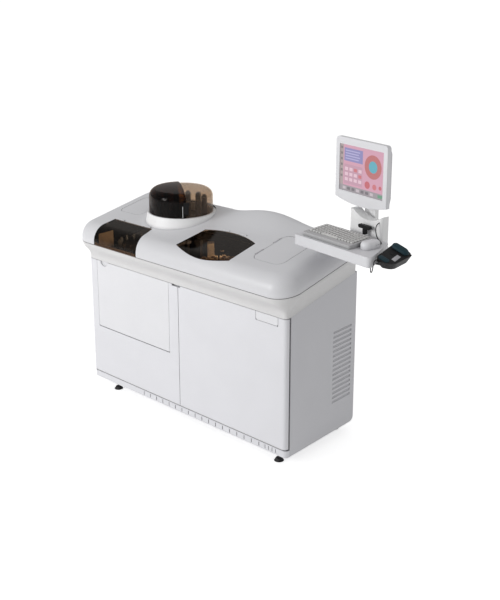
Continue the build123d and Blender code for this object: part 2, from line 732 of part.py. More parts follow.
def label_tab():
    plate = block(*TAB_X, 0.0, 3.0, TAB_BOTTOM, DOOR_TOP)
    corners = [e for e in plate.edges().filter_by(Axis.Y) if e.center().Z < TAB_BOTTOM + 1]
    plate = fillet(corners, 10.0)
    x0, x1 = TAB_X
    return plate + block(x0 + 10, x1 - 10, 2.9, TAB_POCKET - SEAT, DOOR_TOP - 26, DOOR_TOP - 6)


def hinge_pins():
    pins = []
    for x in (DOOR_PIVOT, CAB_W - DOOR_PIVOT):
        pins.append(rod(x, DOOR_PIVOT_Y, KICK_TOP + 1.5, DOOR_BOTTOM + DOOR_PIN_L - 1, DOOR_PIN_R))
        pins.append(rod(x, DOOR_PIVOT_Y, DOOR_TOP - DOOR_PIN_L + 1, DOOR_TOP + 4.5, DOOR_PIN_R))
    for lid in LIDS:
        pins += lid[4]
    return group(pins)


def level_feet():
    feet = []
    for x in (150.0, CAB_W - 80.0):
        for y in (48.0, CAB_D - 50.0):
            pad = Pos(x, y, 0) * Cone(24, 15, 14, align=(Align.CENTER, Align.CENTER, Align.MIN))
            stem = rod(x, y, 13, FLOOR_Z - SEAT, 6) + rod(x, y, FLOOR_Z - 12, FLOOR_Z - SEAT, 11)
            feet.append(pad + stem)
    return group(feet)


# Rotors and probes

def drive_units():
    units = []
    shaft_tops = (
        (SAMPLE_AT, SAMPLE_HUB_TOP + 6),
        (REAGENT_AT, REAGENT_HUB_TOP + 4),
        (INCUBATOR_AT, INCUBATOR_HUB_TOP + 6),
        ((DOME_X, DOME_Y), BEAD_BASE + 16),
        (SAMPLE_PROBE_AT, POST_SOCKET_TOP - 4),
        (REAGENT_PROBE_AT, POST_SOCKET_TOP - 4),
    )
    for (x, y), top in shaft_tops:
        unit = block(x - 28, x + 28, y - 28, y + 28, DECK_Z - 62, DECK_Z - SEAT)
        base = DECK_Z + DECK_T
        shoulder = BEAD_BASE if (x, y) == (DOME_X, DOME_Y) else ROTOR_BASE
        unit += rod(x, y, DECK_Z - 1, base + 1, 13.7)
        unit += rod(x, y, base + SEAT, shoulder, 16.0)
        unit += rod(x, y, base, top, SHAFT_R)
        units.append(unit)
    return group(units)


def rotor(centre, radius, levels, base, top):
    x, y = centre
    body = rod(x, y, base + SEAT, top, HUB_R)
    for z in levels:
        body += rod(x, y, z, z + 4, radius)
    return body - rod(x, y, base - 1, top + 1, SHAFT_R + RUN_FIT)


def sample_carousel():
    body = rotor(SAMPLE_AT, ROTOR_R, RACK_Z, ROTOR_BASE, SAMPLE_HUB_TOP)
    seat = Pos(TUBE_RING_R, 0, RACK_Z[1]) * Cylinder(SAMPLE_TUBE_R + 0.3, 20)
    for hole in ring_of(seat, SAMPLE_TUBES, SAMPLE_AT):
        body -= hole
    return body


def sample_tubes():
    z0, z1 = RACK_Z[0] + 4 + SEAT, TUBE_TOP
    tube = rod(TUBE_RING_R, 0, z0, z1, SAMPLE_TUBE_R)
    tube -= rod(TUBE_RING_R, 0, z0 + 2, z1 + 1, SAMPLE_TUBE_R - 1.2)
    return group(ring_of(tube, SAMPLE_TUBES, SAMPLE_AT))


def wedge(r0, r1, half_angle, z0, z1):
    edges = [
        (r0 * cos(radians(half_angle)), -r0 * sin(radians(half_angle))),
        (r1 * cos(radians(half_angle)), -r1 * sin(radians(half_angle))),
        (r1, 0),
        (r1 * cos(radians(half_angle)), r1 * sin(radians(half_angle))),
        (r0 * cos(radians(half_angle)), r0 * sin(radians(half_angle))),
    ]
    return upright(Sketch() + Polygon(*edges, align=None), z0, z1)


def reagent_carousel():
    return rotor(REAGENT_AT, ROTOR_R, (RACK_Z[0],), ROTOR_BASE, REAGENT_HUB_TOP)


def reagent_packs():
    z0 = RACK_Z[0] + 4 + SEAT
    z1 = TUBE_TOP - 10
    pack = wedge(40.0, ROTOR_R - 3, 12.5, z0, z1)
    pack += rod(ROTOR_R - 26, 0, z1 - 1, TUBE_TOP, 10.0) + rod(ROTOR_R - 56, 0, z1 - 1, TUBE_TOP, 7.0)
    return group(ring_of(pack, REAGENT_PACKS, REAGENT_AT))


def bead_carousel():
    body = rotor((DOME_X, DOME_Y), BEAD_R, (BEAD_BASE + 6,), BEAD_BASE, BEAD_HUB_TOP)
    knob = rod(DOME_X, DOME_Y, BEAD_HUB_TOP - 1, BEAD_HUB_TOP + 48, 11.0)
    return body + knob


def bead_tubes():
    z0, z1 = BEAD_BASE + 10 + SEAT, BEAD_TUBE_TOP - 8
    tube = rod(BEAD_RING_R, 0, z0, z1, BEAD_TUBE_R)
    tube += rod(BEAD_RING_R, 0, z1 - 1, BEAD_TUBE_TOP, BEAD_TUBE_R - 4)
    return group(ring_of(tube, BEAD_TUBES, (DOME_X, DOME_Y)))


def incubator_rotor():
    body = rotor(INCUBATOR_AT, INCUBATOR_R, RACK_Z, ROTOR_BASE, INCUBATOR_HUB_TOP)
    for hole in ring_of(Pos(INCUBATOR_R - 20, 0, RACK_Z[1]) * Cylinder(5.0, 20), 24, INCUBATOR_AT):
        body -= hole
    return body


def probe_post(at):
    x, y = at
    body = rod(x, y, ROTOR_BASE + SEAT, ARM_Z + ARM_T + 12, POST_R)
    return body - rod(x, y, ROTOR_BASE - 1, POST_SOCKET_TOP, SHAFT_R + RUN_FIT)


def probe_arm(at, length, angle):
    hub = rod(0, 0, ARM_Z, ARM_Z + ARM_T, POST_R + 7)
    body = hub + block(0, length, -8, 8, ARM_Z, ARM_Z + ARM_T) + rod(length, 0, ARM_Z, ARM_Z + ARM_T, 11)
    body += rod(length, 0, ARM_Z - 2, ARM_Z + 1, 4)
    body += rod(length, 0, TUBE_TOP + PROBE_STROKE + 1, ARM_Z, 1.2)
    body -= rod(0, 0, ARM_Z - 1, ARM_Z + ARM_T + 1, POST_R + RUN_FIT)
    return Pos(at[0], at[1], 0) * Rot(0, 0, angle) * body


# Pieces in the bays

def luminometer():
    base = DECK_Z + DECK_T + SEAT
    top = DECK_Z + 106.0
    body = block(*LUMINOMETER_X, *LUMINOMETER_Y, base, top)
    port = rod(sum(LUMINOMETER_X) / 2, sum(LUMINOMETER_Y) / 2, top - 1, top + 14, 22.0)
    return fillet(body.edges().filter_by(Axis.Z), 8.0) + port


def syringe_pumps():
    base = FLOOR_Z + FLOOR_T + SEAT
    body = block(*PUMPS_X, *PUMPS_Y, base, 250.0)
    front = PUMPS_Y[0]
    for i in range(4):
        x = PUMPS_X[0] + 30 + 60 * i
        body += rod_y(x, front - 15, front + 1, 215, 14) + rod(x, front - 20, 120, 214, 9)
        body += block(x - 12, x + 12, front - 32, front + 1, 100, 121)
    return body


def fluid_bottles():
    base = FLOOR_Z + FLOOR_T + SEAT
    bottles = []
    y = sum(BOTTLES_Y) / 2
    for x in BOTTLES_X:
        body = block(x - 75, x + 75, *BOTTLES_Y, base, 330.0)
        body = fillet(body.edges().filter_by(Axis.Z), 28.0)
        bottles.append(body + rod(x, y, 329, 352, 26) + rod(x, y, 351, 372, 31))
    return group(bottles)


def waste_bin():
    base = FLOOR_Z + FLOOR_T + SEAT
    outer = upright(rounded_plan(*WASTE_X, *WASTE_Y, 18), base, WASTE_TOP)
    inside = rounded_plan(WASTE_X[0] + 3, WASTE_X[1] - 3, WASTE_Y[0] + 3, WASTE_Y[1] - 3, 15)
    return outer - upright(inside, base + 3, WASTE_TOP + 1)


def power_supply():
    base = FLOOR_Z + FLOOR_T + 20 + SEAT
    return block(SUPPLY_X, CAB_W - 8.0 - TUBE - SEAT, *SUPPLY_Y, base - 20, 360.0)


# Workstation

def on_tray(part):
    return Pos(TRAY_AT[0], TRAY_AT[1], 0) * Rot(0, 0, TRAY_YAW) * part


def tray_outline(inset):
    points = [
        (inset, inset),
        (TRAY_W - 1.6 * inset, inset),
        (TRAY_RIGHT_REAR - 1.4 * inset, TRAY_D - inset),
        (inset, TRAY_D - inset),
    ]
    face = Sketch() + Polygon(*points, align=None)
    return fillet(face.vertices(), 16.0 - inset)


def keyboard_tray():
    body = upright(tray_outline(0.0), TRAY_Z, TRAY_TOP)
    body -= upright(tray_outline(TRAY_WALL), TRAY_Z - 1, TRAY_TOP - TRAY_WALL)
    x, y, z = SCANNER_CORD[-1]
    gland = rod(x, y, z - 10, TRAY_TOP - TRAY_WALL + 1, GLAND_R) - rod(x, y, z - 11, z, CORD_R + CORD_FIT)
    return on_tray(body + gland)


def arm_post():
    x, y = ARM_POST_AT
    post = rod(x, y, DECK_Z, ARM_POST_TOP, ARM_POST_R - RUN_FIT)
    post += rod(x, y, DECK_Z + DECK_T + SEAT, DECK_Z + DECK_T + 14, ARM_POST_R + 20)
    return post + rod(x, y, ARM_BASE - SEAT - 6, ARM_BASE - SEAT, ARM_POST_R + 10)


def tray_arm():
    x, y = ARM_POST_AT
    z0, z1 = ARM_BASE, TRAY_Z - SEAT
    corners = [(x - 22, y - 28), (x + 190, y - 205), (x + 260, y - 100), (x + 10, y + 34)]
    bridge = Sketch() + Polygon(*corners, align=None)
    left, right = MONITOR_AT[0] + SUPPORT_U[0] - 2, MONITOR_AT[0] + SUPPORT_U[1] + 2
    arm = rod(x, y, z0, z1, ARM_POST_R + 12) + upright(bridge, z0, z1)
    arm += on_tray(block(70, KEYBOARD_RIGHT - 4, TRAY_D - 85, TRAY_D - 11, z0, z1))
    arm += on_tray(block(left, right, 200, MONITOR_AT[1] + SUPPORT_V[1] + 6, z0, z1))
    return arm - rod(x, y, z0 - 1, z1 + 1, ARM_POST_R)


def on_stand(part):
    return on_tray(Pos(MONITOR_AT[0], MONITOR_AT[1], 0) * Rot(0, 0, MONITOR_YAW) * part)


def on_monitor(part):
    return on_stand(Pos(0, 0, SCREEN_CENTRE_Z) * part)


def monitor_support():
    u0, u1 = SUPPORT_U
    v0, v1 = SUPPORT_V
    body = upright(rounded_plan(u0, u1, v0, v1, 12.0), TRAY_Z, SUPPORT_TOP)
    body -= rod_y((u0 + u1) / 2 + 14, v0 - 10, v1 + 10, SUPPORT_TOP + 118, 150)
    w = SUPPORT_WALL
    body -= upright(rounded_plan(u0 + w, u1 - w, v0 + w, v1 - w, 8.0), TRAY_Z - 1, SUPPORT_HOLLOW_TOP)
    body -= rod_y(HANDLE_AT[0], v0 - 1, v0 + 15, HANDLE_AT[1], HANDLE_STEM_R + RUN_FIT)
    axis_z = SCREEN_CENTRE_Z + TILT_Z
    neck = block(-NECK_HALF, NECK_HALF, v1 - 4, TILT_V + 10, *NECK_Z)
    neck += block(-NECK_HALF, NECK_HALF, TILT_V - 10, TILT_V + 10, NECK_Z[0], axis_z - 18)
    for side in (-1, 1):
        a, b = sorted((side * NECK_HALF, side * (NECK_HALF - EAR_T)))
        neck += block(a, b, TILT_V - 10, TILT_V + 10, axis_z - 19, axis_z)
        neck += rod_x(a, b, TILT_V, axis_z, 10)
    neck += rod_x(-NECK_HALF - 3, NECK_HALF + 3, TILT_V, axis_z, TILT_R)
    x, y, z = MOUSE_CORD[-1]
    tray_body = on_stand(body + neck)
    gland = on_tray(rod_y(x, y - 10, y + 10, z, GLAND_R))
    return tray_body + gland - on_tray(rod_y(x, y - 21, y, z, CORD_R + CORD_FIT))


def tilt_handle():
    u, z = HANDLE_AT
    v = SUPPORT_V[0]
    stem = rod_y(u, v - 20, v + 14, z, HANDLE_STEM_R)
    bar = block(u - 37, u + 36, v - 30, v - 14, z + 2, z + 18)
    bar = fillet(bar.edges().filter_by(Axis.Y), 6.0)
    leg = block(u - 10, u + 9, v - 28, v - 14, z - 24, z + 6)
    return on_stand(stem + bar + fillet(leg.edges().filter_by(Axis.Y), 4.0))


def key_tilt():
    return (KEYBOARD_REAR_H - KEYBOARD_FRONT_H) / KEYBOARD_D


def key_floor(v):
    return TRAY_TOP + SEAT + KEYBOARD_FRONT_H - KEY_WELL + key_tilt() * (v - KEYBOARD_AT[1])


def key_cell(column, row, columns=1):
    step_u = (KEYBOARD_W - 2 * KEY_SIDE) / KEY_COLUMNS
    step_v = (KEYBOARD_D - KEY_FRONT - KEY_REAR) / KEY_ROWS
    u = KEYBOARD_AT[0] + KEY_SIDE + step_u * column
    v = KEYBOARD_AT[1] + KEY_FRONT + step_v * row
    return u + KEY_GAP / 2, v + KEY_GAP / 2, step_u * columns - KEY_GAP, step_v - KEY_GAP


def keyboard_case():
    u, v = KEYBOARD_AT
    z = TRAY_TOP + SEAT
    rear_v = v + KEYBOARD_D
    side = [(v, z), (rear_v, z), (rear_v, z + KEYBOARD_REAR_H), (v, z + KEYBOARD_FRONT_H)]
    body = along_x(side, u, u + KEYBOARD_W)
    body = fillet(body.edges().filter_by(Axis.Z), 7.0)
    front, rear = v + KEY_FRONT, rear_v - KEY_REAR
    well = [(front, key_floor(front)), (rear, key_floor(rear)), (rear, z + 60), (front, z + 60)]
    body -= along_x(well, u + KEY_SIDE, u + KEYBOARD_W - KEY_SIDE)
    su, sv, sw, sd = key_cell(SPACE_FROM, 0, SPACE_TO - SPACE_FROM)
    floor = key_floor(sv)
    body -= block(su - 0.6, su + sw + 0.6, sv - 0.6, sv + sd + 0.6, floor - KEY_TRAVEL - 0.5, floor + 20)
    for du in (0.2, 0.8):
        body -= rod(su + du * sw, sv + sd / 2, floor - 9.0, floor + 1, 2.5 + RUN_FIT)
    return on_tray(body)


def key_cap(u, v, w, d):
    z = key_floor(v + d) + SEAT
    low = Pos(u + w / 2, v + d / 2, z) * Rectangle(w, d)
    high = Pos(u + w / 2, v + d / 2, z + KEY_HEIGHT) * Rectangle(w - 4, d - 4)
    return loft([Sketch() + low, Sketch() + high], ruled=True)


def keyboard_keys():
    keys = []
    for row in range(KEY_ROWS):
        for column in range(KEY_COLUMNS):
            if row > 0 or not SPACE_FROM <= column < SPACE_TO:
                keys.append(on_tray(key_cap(*key_cell(column, row))))
    return group(keys)


def space_bar():
    u, v, w, d = key_cell(SPACE_FROM, 0, SPACE_TO - SPACE_FROM)
    bar = key_cap(u, v, w, d)
    z = key_floor(v + d) + SEAT
    for du in (0.2, 0.8):
        bar += rod(u + du * w, v + d / 2, z - 5.0, z + 1, 2.5)
    return on_tray(bar)


def mouse_shape():
    z = TRAY_TOP + SEAT
    body = upright(Pos(*MOUSE_AT) * RectangleRounded(MOUSE_W, MOUSE_L, 25), z, z + MOUSE_H)
    top = body.faces().sort_by(Axis.Z)[-1]
    return fillet(top.edges(), 16.0)


def mouse_parts():
    u, v = MOUSE_AT
    body = mouse_shape()
    split = TRAY_TOP + SEAT + 15.0
    high = split + 60
    left = body & block(u - 60, u - 1, v + 6 + MOUSE_GAP, v + 60, split + 1.5, high)
    right = body & block(u + 1, u + 60, v + 6 + MOUSE_GAP, v + 60, split + 1.5, high)
    shell = body - block(u - 60, u + 60, v + 6, v + 60, split, high)
    x, y, z = MOUSE_CORD[0]
    shell -= rod_y(x, y, y + 22, z, CORD_R + CORD_FIT)
    return [on_tray(part) for part in (shell, left, right)]


def monitor_outline(inset):
    w = MONITOR_OUT_W / 2 - inset
    top = SCREEN_H / 2 + BEZEL_TOP - inset
    low = -SCREEN_H / 2 - BEZEL_CHIN + inset
    r = 16.0
    edges = [
        Line((-w, low), (-w, top - r)),
        RadiusArc((-w, top - r), (-w + r, top), r),
        Line((-w + r, top), (w - r, top)),
        RadiusArc((w - r, top), (w, top - r), r),
        Line((w, top - r), (w, low)),
        ThreePointArc((w, low), (0, low - CHIN_DROP), (-w, low)),
    ]
    return Sketch() + make_face(Wire(edges))


def monitor_bezel():
    body = extrude(Plane.XZ.offset(-BEZEL_T) * monitor_outline(0.0), amount=BEZEL_T)
    w, h = SCREEN_W / 2, SCREEN_H / 2
    body -= block(-w, w, -1, 10, -h, h)
    return on_monitor(body - block(-w - 6, w + 6, 5, BEZEL_T + 1, -h - 6, h + 6))


def monitor_screen():
    w, h = SCREEN_W / 2 + 5, SCREEN_H / 2 + 5
    return on_monitor(block(-w, w, 5 + SEAT, 14, -h, h))


def monitor_back():
    near = Plane.XZ.offset(-BEZEL_T - SEAT) * monitor_outline(3.0)
    far = Plane.XZ.offset(-MONITOR_BACK_V) * monitor_outline(34.0)
    shell = loft([Sketch() + near, Sketch() + far], ruled=True)
    half = NECK_HALF - EAR_T - SEAT
    boss = rod_x(-half, half, TILT_V, TILT_Z, 11)
    boss += block(-half, half, MONITOR_BACK_V - 20, TILT_V, TILT_Z - 8, TILT_Z + 11)
    return on_monitor(shell + boss - rod_x(-60, 60, TILT_V, TILT_Z, TILT_R + RUN_FIT))


# Scanner and its cradle

def at_scanner(part):
    u, v = SCANNER_AT
    return on_tray(Pos(u, v, 0) * Rot(0, 0, SCANNER_YAW) * part)


def cradle_form(inset, z0, z1):
    """The cup's form between two heights; it widens evenly from its floor to its rim."""
    sections = []
    for z in (z0, z1):
        open_up = (z - CRADLE_Z) / CRADLE_H
        w = CRADLE_W - CRADLE_TAPER * (1 - open_up) - 2 * inset
        length = SCANNER_L - CRADLE_TAPER * (1 - open_up) - 2 * inset
        at = Pos(CRADLE_SIDE + CRADLE_W / 2, SCANNER_L / 2, z)
        sections.append(Sketch() + at * RectangleRounded(w, length, 26 - inset))
    return loft(sections, ruled=True)


def scanner_cradle():
    top = CRADLE_Z + CRADLE_H
    cup = cradle_form(0.0, CRADLE_Z, top) - cradle_form(CRADLE_WALL, CRADLE_Z + CRADLE_WALL, top + 2)
    bracket = block(-70, CRADLE_SIDE + CRADLE_W / 2, 56, 100, CRADLE_Z - 6, CRADLE_Z)
    bracket += block(-70, -40, 56, 100, CRADLE_Z - 6, TRAY_TOP - TRAY_WALL - SEAT)
    return at_scanner(cup + bracket)


def scanner_form():
    rim = CRADLE_Z + CRADLE_H
    inset = CRADLE_WALL + SCANNER_FIT
    low = cradle_form(inset, CRADLE_Z + CRADLE_WALL + SEAT, rim)
    x0, x1 = CRADLE_SIDE + inset, CRADLE_SIDE + CRADLE_W - inset
    high = upright(rounded_plan(x0, x1, inset, SCANNER_L - inset, 26 - inset), rim - 0.5, rim + 60)
    body = low + high
    left_rear, right_rear, left_front = SCANNER_TOP
    origin = (0, SCANNER_L, left_rear)
    across = (CRADLE_W, 0, right_rear - left_rear)
    along = (0, -SCANNER_L, left_front - left_rear)
    normal = Vector(*across).cross(Vector(*along))
    cut = Plane(origin=origin, x_dir=across, z_dir=-normal if normal.Z < 0 else normal)
    return body - cut * Pos(0, 0, 100) * Box(800, 800, 200)


def scanner_body():
    body = scanner_form()
    x, y = TRIGGER_AT
    body -= rod(x, y, TRIGGER_SEAT_Z, 1200, TRIGGER_R + 0.4)
    u, v, z = SCANNER_CORD[0]
    return at_scanner(body) - on_tray(rod_y(u, v - 60, v, z, CORD_R + CORD_FIT))


def scanner_trigger():
    x, y = TRIGGER_AT
    stem = rod(x, y, TRIGGER_SEAT_Z + TRIGGER_TRAVEL + 1.0, 1300, TRIGGER_R)
    return at_scanner(stem & scanner_form().translate((0, 0, 1.5)))


# Cords

def corner_radii(points):
    """Each corner's arc is as large as its two runs allow."""
    runs = [Vector(*b) - Vector(*a) for a, b in zip(points, points[1:])]
    radii = []
    for before, after in zip(runs, runs[1:]):
        turn = radians(before.get_angle(after))
        radii.append(0.45 * min(before.length, after.length) / tan(turn / 2))
    return radii


def cord(name, points):
    radii = corner_radii(points)
    path = FilletPolyline(*points, radius=radii)
    tube = sweep(Plane(origin=path @ 0, z_dir=path % 0) * Circle(CORD_R), path=path)
    length = path.length
    print(name, "length", round(length, 1), "radii", [round(r, 1) for r in radii], end=" ")
    print("volume over section times length", round(tube.volume / (pi * CORD_R**2 * length), 4))
    return on_tray(tube)


# Assembly

def parts_of():
    shell, left, right = mouse_parts()
    return {
        "chassis_frame": chassis_frame(),
        "floor_pan": floor_pan(),
        "left_side_panel": side_panel(0.0, False),
        "right_side_panel": side_panel(CAB_W - PANEL_T, True),
        "rear_panel": rear_panel(),
        "kick_plate": kick_plate(),
        "skirt_band": skirt_band(),
        "deck_plate": deck_plate(),
        "top_cover": top_cover(),
        "sample_window": SAMPLE_LID[0],
        "reagent_window": REAGENT_LID[0],
        "service_lid": SERVICE_LID[0],
        "corner_lid": CORNER_LID[0],
        "dome_collar": dome_collar(),
        "dome_turning_cover": dome_half(
            DOME_R, DOME_HEIGHT, DOME_SHOULDER, DOME_T, DOME_SEAM_DEG + 180, 180
        ),
        "dome_fixed_cover": dome_half(
            DOME_R - DOME_STEP, DOME_HEIGHT - DOME_STEP, DOME_SHOULDER, DOME_T, DOME_SEAM_DEG - 4, 188
        ),
        "dome_handle": dome_handle(),
        "left_door": left_door(),
        "access_flap": access_flap(),
        "right_door": right_door(),
        "label_tab": label_tab(),
        "hinge_pins": hinge_pins(),
        "level_feet": level_feet(),
        "drive_units": drive_units(),
        "sample_carousel": sample_carousel(),
        "sample_tubes": sample_tubes(),
        "reagent_carousel": reagent_carousel(),
        "reagent_packs": reagent_packs(),
        "bead_carousel": bead_carousel(),
        "bead_tubes": bead_tubes(),
        "incubator_rotor": incubator_rotor(),
        "sample_probe_post": probe_post(SAMPLE_PROBE_AT),
        "sample_probe_arm": probe_arm(SAMPLE_PROBE_AT, SAMPLE_REACH, -90.0),
        "reagent_probe_post": probe_post(REAGENT_PROBE_AT),
        "reagent_probe_arm": probe_arm(REAGENT_PROBE_AT, REAGENT_REACH, 90.0),
        "luminometer": luminometer(),
        "syringe_pumps": syringe_pumps(),
        "fluid_bottles": fluid_bottles(),
        "waste_bin": waste_bin(),
        "power_supply": power_supply(),
        "power_inlet": power_inlet(),
        "arm_post": arm_post(),
        "tray_arm": tray_arm(),
        "keyboard_tray": keyboard_tray(),
        "keyboard_case": keyboard_case(),
        "keyboard_keys": keyboard_keys(),
        "space_bar": space_bar(),
        "mouse_body": shell,
        "mouse_left_button": left,
        "mouse_right_button": right,
        "monitor_support": monitor_support(),
        "tilt_handle": tilt_handle(),
        "monitor_bezel": monitor_bezel(),
        "monitor_screen": monitor_screen(),
        "monitor_back": monitor_back(),
        "scanner_cradle": scanner_cradle(),
        "scanner_body": scanner_body(),
        "scanner_trigger": scanner_trigger(),
        "scanner_cord": cord("scanner_cord", SCANNER_CORD),
        "mouse_cord": cord("mouse_cord", MOUSE_CORD),
    }


CORDS = ("scanner_cord", "mouse_cord")


def origin_shift(parts):
    """From the cabinet's corner to the bottom centre of all pieces but the cords."""
    boxes = [shape.bounding_box() for name, shape in parts.items() if name not in CORDS]
    low = [min(list(b.min)[i] for b in boxes) for i in range(3)]
    high = [max(list(b.max)[i] for b in boxes) for i in range(3)]
    return (-(low[0] + high[0]) / 2, -(low[1] + high[1]) / 2, -low[2])


def placed(shape, shift):
    """The shape in its final place, each of its solids moved by itself."""
    solids = [Pos(*shift) * solid for solid in shape.solids()]
    return solids[0] if len(solids) == 1 else group(solids)


os.makedirs("parts", exist_ok=True)
parts = parts_of()
shift = origin_shift(parts)
print("shift", [round(v, 3) for v in shift])
for name, shape in parts.items():
    export_step(placed(shape, shift), f"parts/{name}.step")
    box = shape.bounding_box()
    print(name, len(shape.solids()), [round(v) for v in (*box.min, *box.max)])
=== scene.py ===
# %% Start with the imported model
from math import cos, pi, radians, sin

import bmesh
import bpy
from mathutils import Matrix, Vector


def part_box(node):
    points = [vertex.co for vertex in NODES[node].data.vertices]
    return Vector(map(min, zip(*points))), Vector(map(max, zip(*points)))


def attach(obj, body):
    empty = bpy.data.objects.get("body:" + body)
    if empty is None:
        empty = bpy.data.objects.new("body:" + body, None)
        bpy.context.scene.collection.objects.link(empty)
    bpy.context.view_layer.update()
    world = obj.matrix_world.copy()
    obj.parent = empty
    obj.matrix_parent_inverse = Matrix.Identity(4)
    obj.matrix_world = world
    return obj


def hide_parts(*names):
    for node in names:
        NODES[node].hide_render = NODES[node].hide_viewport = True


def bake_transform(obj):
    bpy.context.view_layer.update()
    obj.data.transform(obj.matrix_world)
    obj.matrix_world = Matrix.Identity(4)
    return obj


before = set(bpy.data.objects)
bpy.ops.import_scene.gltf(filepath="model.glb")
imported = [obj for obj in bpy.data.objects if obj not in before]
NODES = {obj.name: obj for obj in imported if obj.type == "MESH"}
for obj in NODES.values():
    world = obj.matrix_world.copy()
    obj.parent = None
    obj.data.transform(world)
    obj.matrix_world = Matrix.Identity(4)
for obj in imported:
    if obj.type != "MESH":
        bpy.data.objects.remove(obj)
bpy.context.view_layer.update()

MM = 0.001
print("pieces in the frame:", len(NODES))

# %% [markdown]
# ## Camera
# The analyzer is seen from its front right corner, from a little above the top cover. A long lens keeps the
# cabinet's uprights nearly parallel. Place and turn could be found by eye, but here they were worked out from the
# straight edges of cabinet, cover and screen. The picture reaches lower than the lens looks, so the lens is
# shifted instead of tilted, which would lean the uprights.

# %% Camera
CAMERA_AT = (3.0013, -3.2851, 2.3030)
CAMERA_TURN = 41.985
CAMERA_DOWN = 14.818
LENS_MM = 56.5
SENSOR_MM = 36.0
LENS_SHIFT = -0.15
SIGHT = 60.0


def make_camera():
    data = bpy.data.cameras.new("camera")
    data.lens, data.sensor_width, data.shift_y, data.clip_end = LENS_MM, SENSOR_MM, LENS_SHIFT, SIGHT
    camera = bpy.data.objects.new("camera", data)
    camera.location = CAMERA_AT
    camera.rotation_euler = (radians(90.0 - CAMERA_DOWN), 0.0, radians(CAMERA_TURN))
    bpy.context.scene.collection.objects.link(camera)
    bpy.context.scene.camera = camera


make_camera()
print("camera at", CAMERA_AT, "lens", LENS_MM)

# %% [markdown]
# ## The workstation's own axes
# Tray, keyboard, mouse and scanner are laid out along the tray's front edge, which is turned a little towards the
# operator, and the monitor is turned a little further. Every place could be worked out in the room's axes, but it
# is easier to say where a thing lies on the tray, and to let one matrix take it to its place in the room.

# %% Axes of the tray and the monitor
TRAY_CORNER = (0.413115, -0.1145, 0.0)
TRAY_TURN = -9.0
MONITOR_TURN = -12.0


def turned(place, degrees):
    """The axes of something that stands at a place and is turned about the vertical."""
    return Matrix.Translation(place) @ Matrix.Rotation(radians(degrees), 4, "Z")


TRAY = turned(TRAY_CORNER, TRAY_TURN)
SCREEN_LOW, SCREEN_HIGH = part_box("monitor_screen")
SCREEN_MIDDLE = (SCREEN_LOW + SCREEN_HIGH) / 2
MONITOR = turned(SCREEN_MIDDLE, MONITOR_TURN)
print("screen centre", [round(v, 3) for v in SCREEN_MIDDLE])

# %% [markdown]
# ## Colour and node tools
# A colour is written as it looks on a screen, in six hex digits, and one function turns it to the light values that
# the shaders count in. A node tree could be wired in the editor. Here one small function adds any node with its
# settings and links and gives back the output that is used next, so that each finish reads as a recipe.

# %% Colour and node tools
FINISH = {}


def light_value(part):
    return part / 12.92 if part <= 0.04045 else ((part + 0.055) / 1.055) ** 2.4


def colour(text, share=1.0):
    """A screen colour as light values, at a share of its light."""
    parts = [int(text[i:i + 2], 16) / 255 for i in (1, 3, 5)]
    return (*[light_value(p) * share for p in parts], 1.0)


def add(tree, kind, inputs=None, out=0, **settings):
    """Adds a node, sets or links its inputs, and gives back one of its outputs."""
    family = "" if kind.startswith("NodeGroup") else tree.bl_idname.removesuffix("Tree")
    node = tree.nodes.new(family + kind)
    for key, value in settings.items():
        setattr(node, key, value)
    for key, value in (inputs or {}).items():
        if isinstance(value, bpy.types.NodeSocket):
            tree.links.new(value, node.inputs[key])
        else:
            node.inputs[key].default_value = value
    return None if out is None else node.outputs[out]


def new_tree(name):
    """The empty node tree of a new finish, which is kept under its name."""
    material = bpy.data.materials.new(name)
    material.use_nodes = True
    material.node_tree.nodes.clear()
    FINISH[name] = material
    return material.node_tree


def grain(tree, size, detail=3.0):
    """A noise fixed to the piece, with cells of a real size in millimetres."""
    place = add(tree, "TexCoord", out="Object")
    return add(tree, "TexNoise", {"Vector": place, "Scale": 1.0 / (size * MM), "Detail": detail}, out="Fac")


print("black and white as light:", colour("#000000")[0], colour("#FFFFFF")[0])

# %% [markdown]
# ## Recipe for paint and moulded plastic
# Powder coat and moulded plastic have much in common: one tone that drifts a little over a hand's breadth, a fine
# grain in relief, edges that are rolled or rounded, and painted shade: seams, creases and recesses darkened to grey
# by ambient occlusion. So one recipe makes them all, and each finish gives it its own tones and sizes. The rounded
# edges could be real bevels, but a shader's bevel leaves the frame's meshes as they are.

# %% Recipe for opaque finishes
DRIFT_SIZE = 200.0
POLISH_SIZE = 25.0
SHADE_REACH = 18.0


def solid(name, tone, crevice_shade, rough=(0.38, 0.5), peel=1.1, depth=0.06, edge=1.2, coat=0.0, patch=0.03, shine=0.5):
    """An opaque finish. Its grain (peel), the grain's depth and the rounding of edges are in millimetres."""
    tree = new_tree(name)
    drift = add(tree, "Mix", {
        0: grain(tree, DRIFT_SIZE), 6: colour(tone, 1 - 2 * patch), 7: colour(tone),
    }, out=2, data_type="RGBA")
    # Painted shade: ambient occlusion mixes the tone towards the darker crevice tone in seams, creases and
    # recesses.
    open_air = add(tree, "AmbientOcclusion", {"Distance": SHADE_REACH * MM}, out="AO", samples=4)
    painted_crevice_shade = add(tree, "MapRange", {"Value": open_air, "To Min": 0.75, "To Max": 0.0})
    shaded_tone = add(tree, "Mix", {0: painted_crevice_shade, 6: drift, 7: colour(crevice_shade)}, out=2, data_type="RGBA")
    rounded = add(tree, "Bevel", {"Radius": edge * MM}, samples=4)
    relief = add(tree, "Bump", {
        "Height": grain(tree, peel, 2.0), "Strength": 0.35, "Distance": depth * MM, "Normal": rounded,
    })
    polish = add(tree, "MapRange", {"Value": grain(tree, POLISH_SIZE), "To Min": rough[0], "To Max": rough[1]})
    body = add(tree, "BsdfPrincipled", {
        "Base Color": shaded_tone, "Roughness": polish, "Normal": relief, "Specular IOR Level": shine,
        "Coat Weight": coat, "Coat Roughness": 0.15,
    })
    add(tree, "OutputMaterial", {"Surface": body}, out=None)
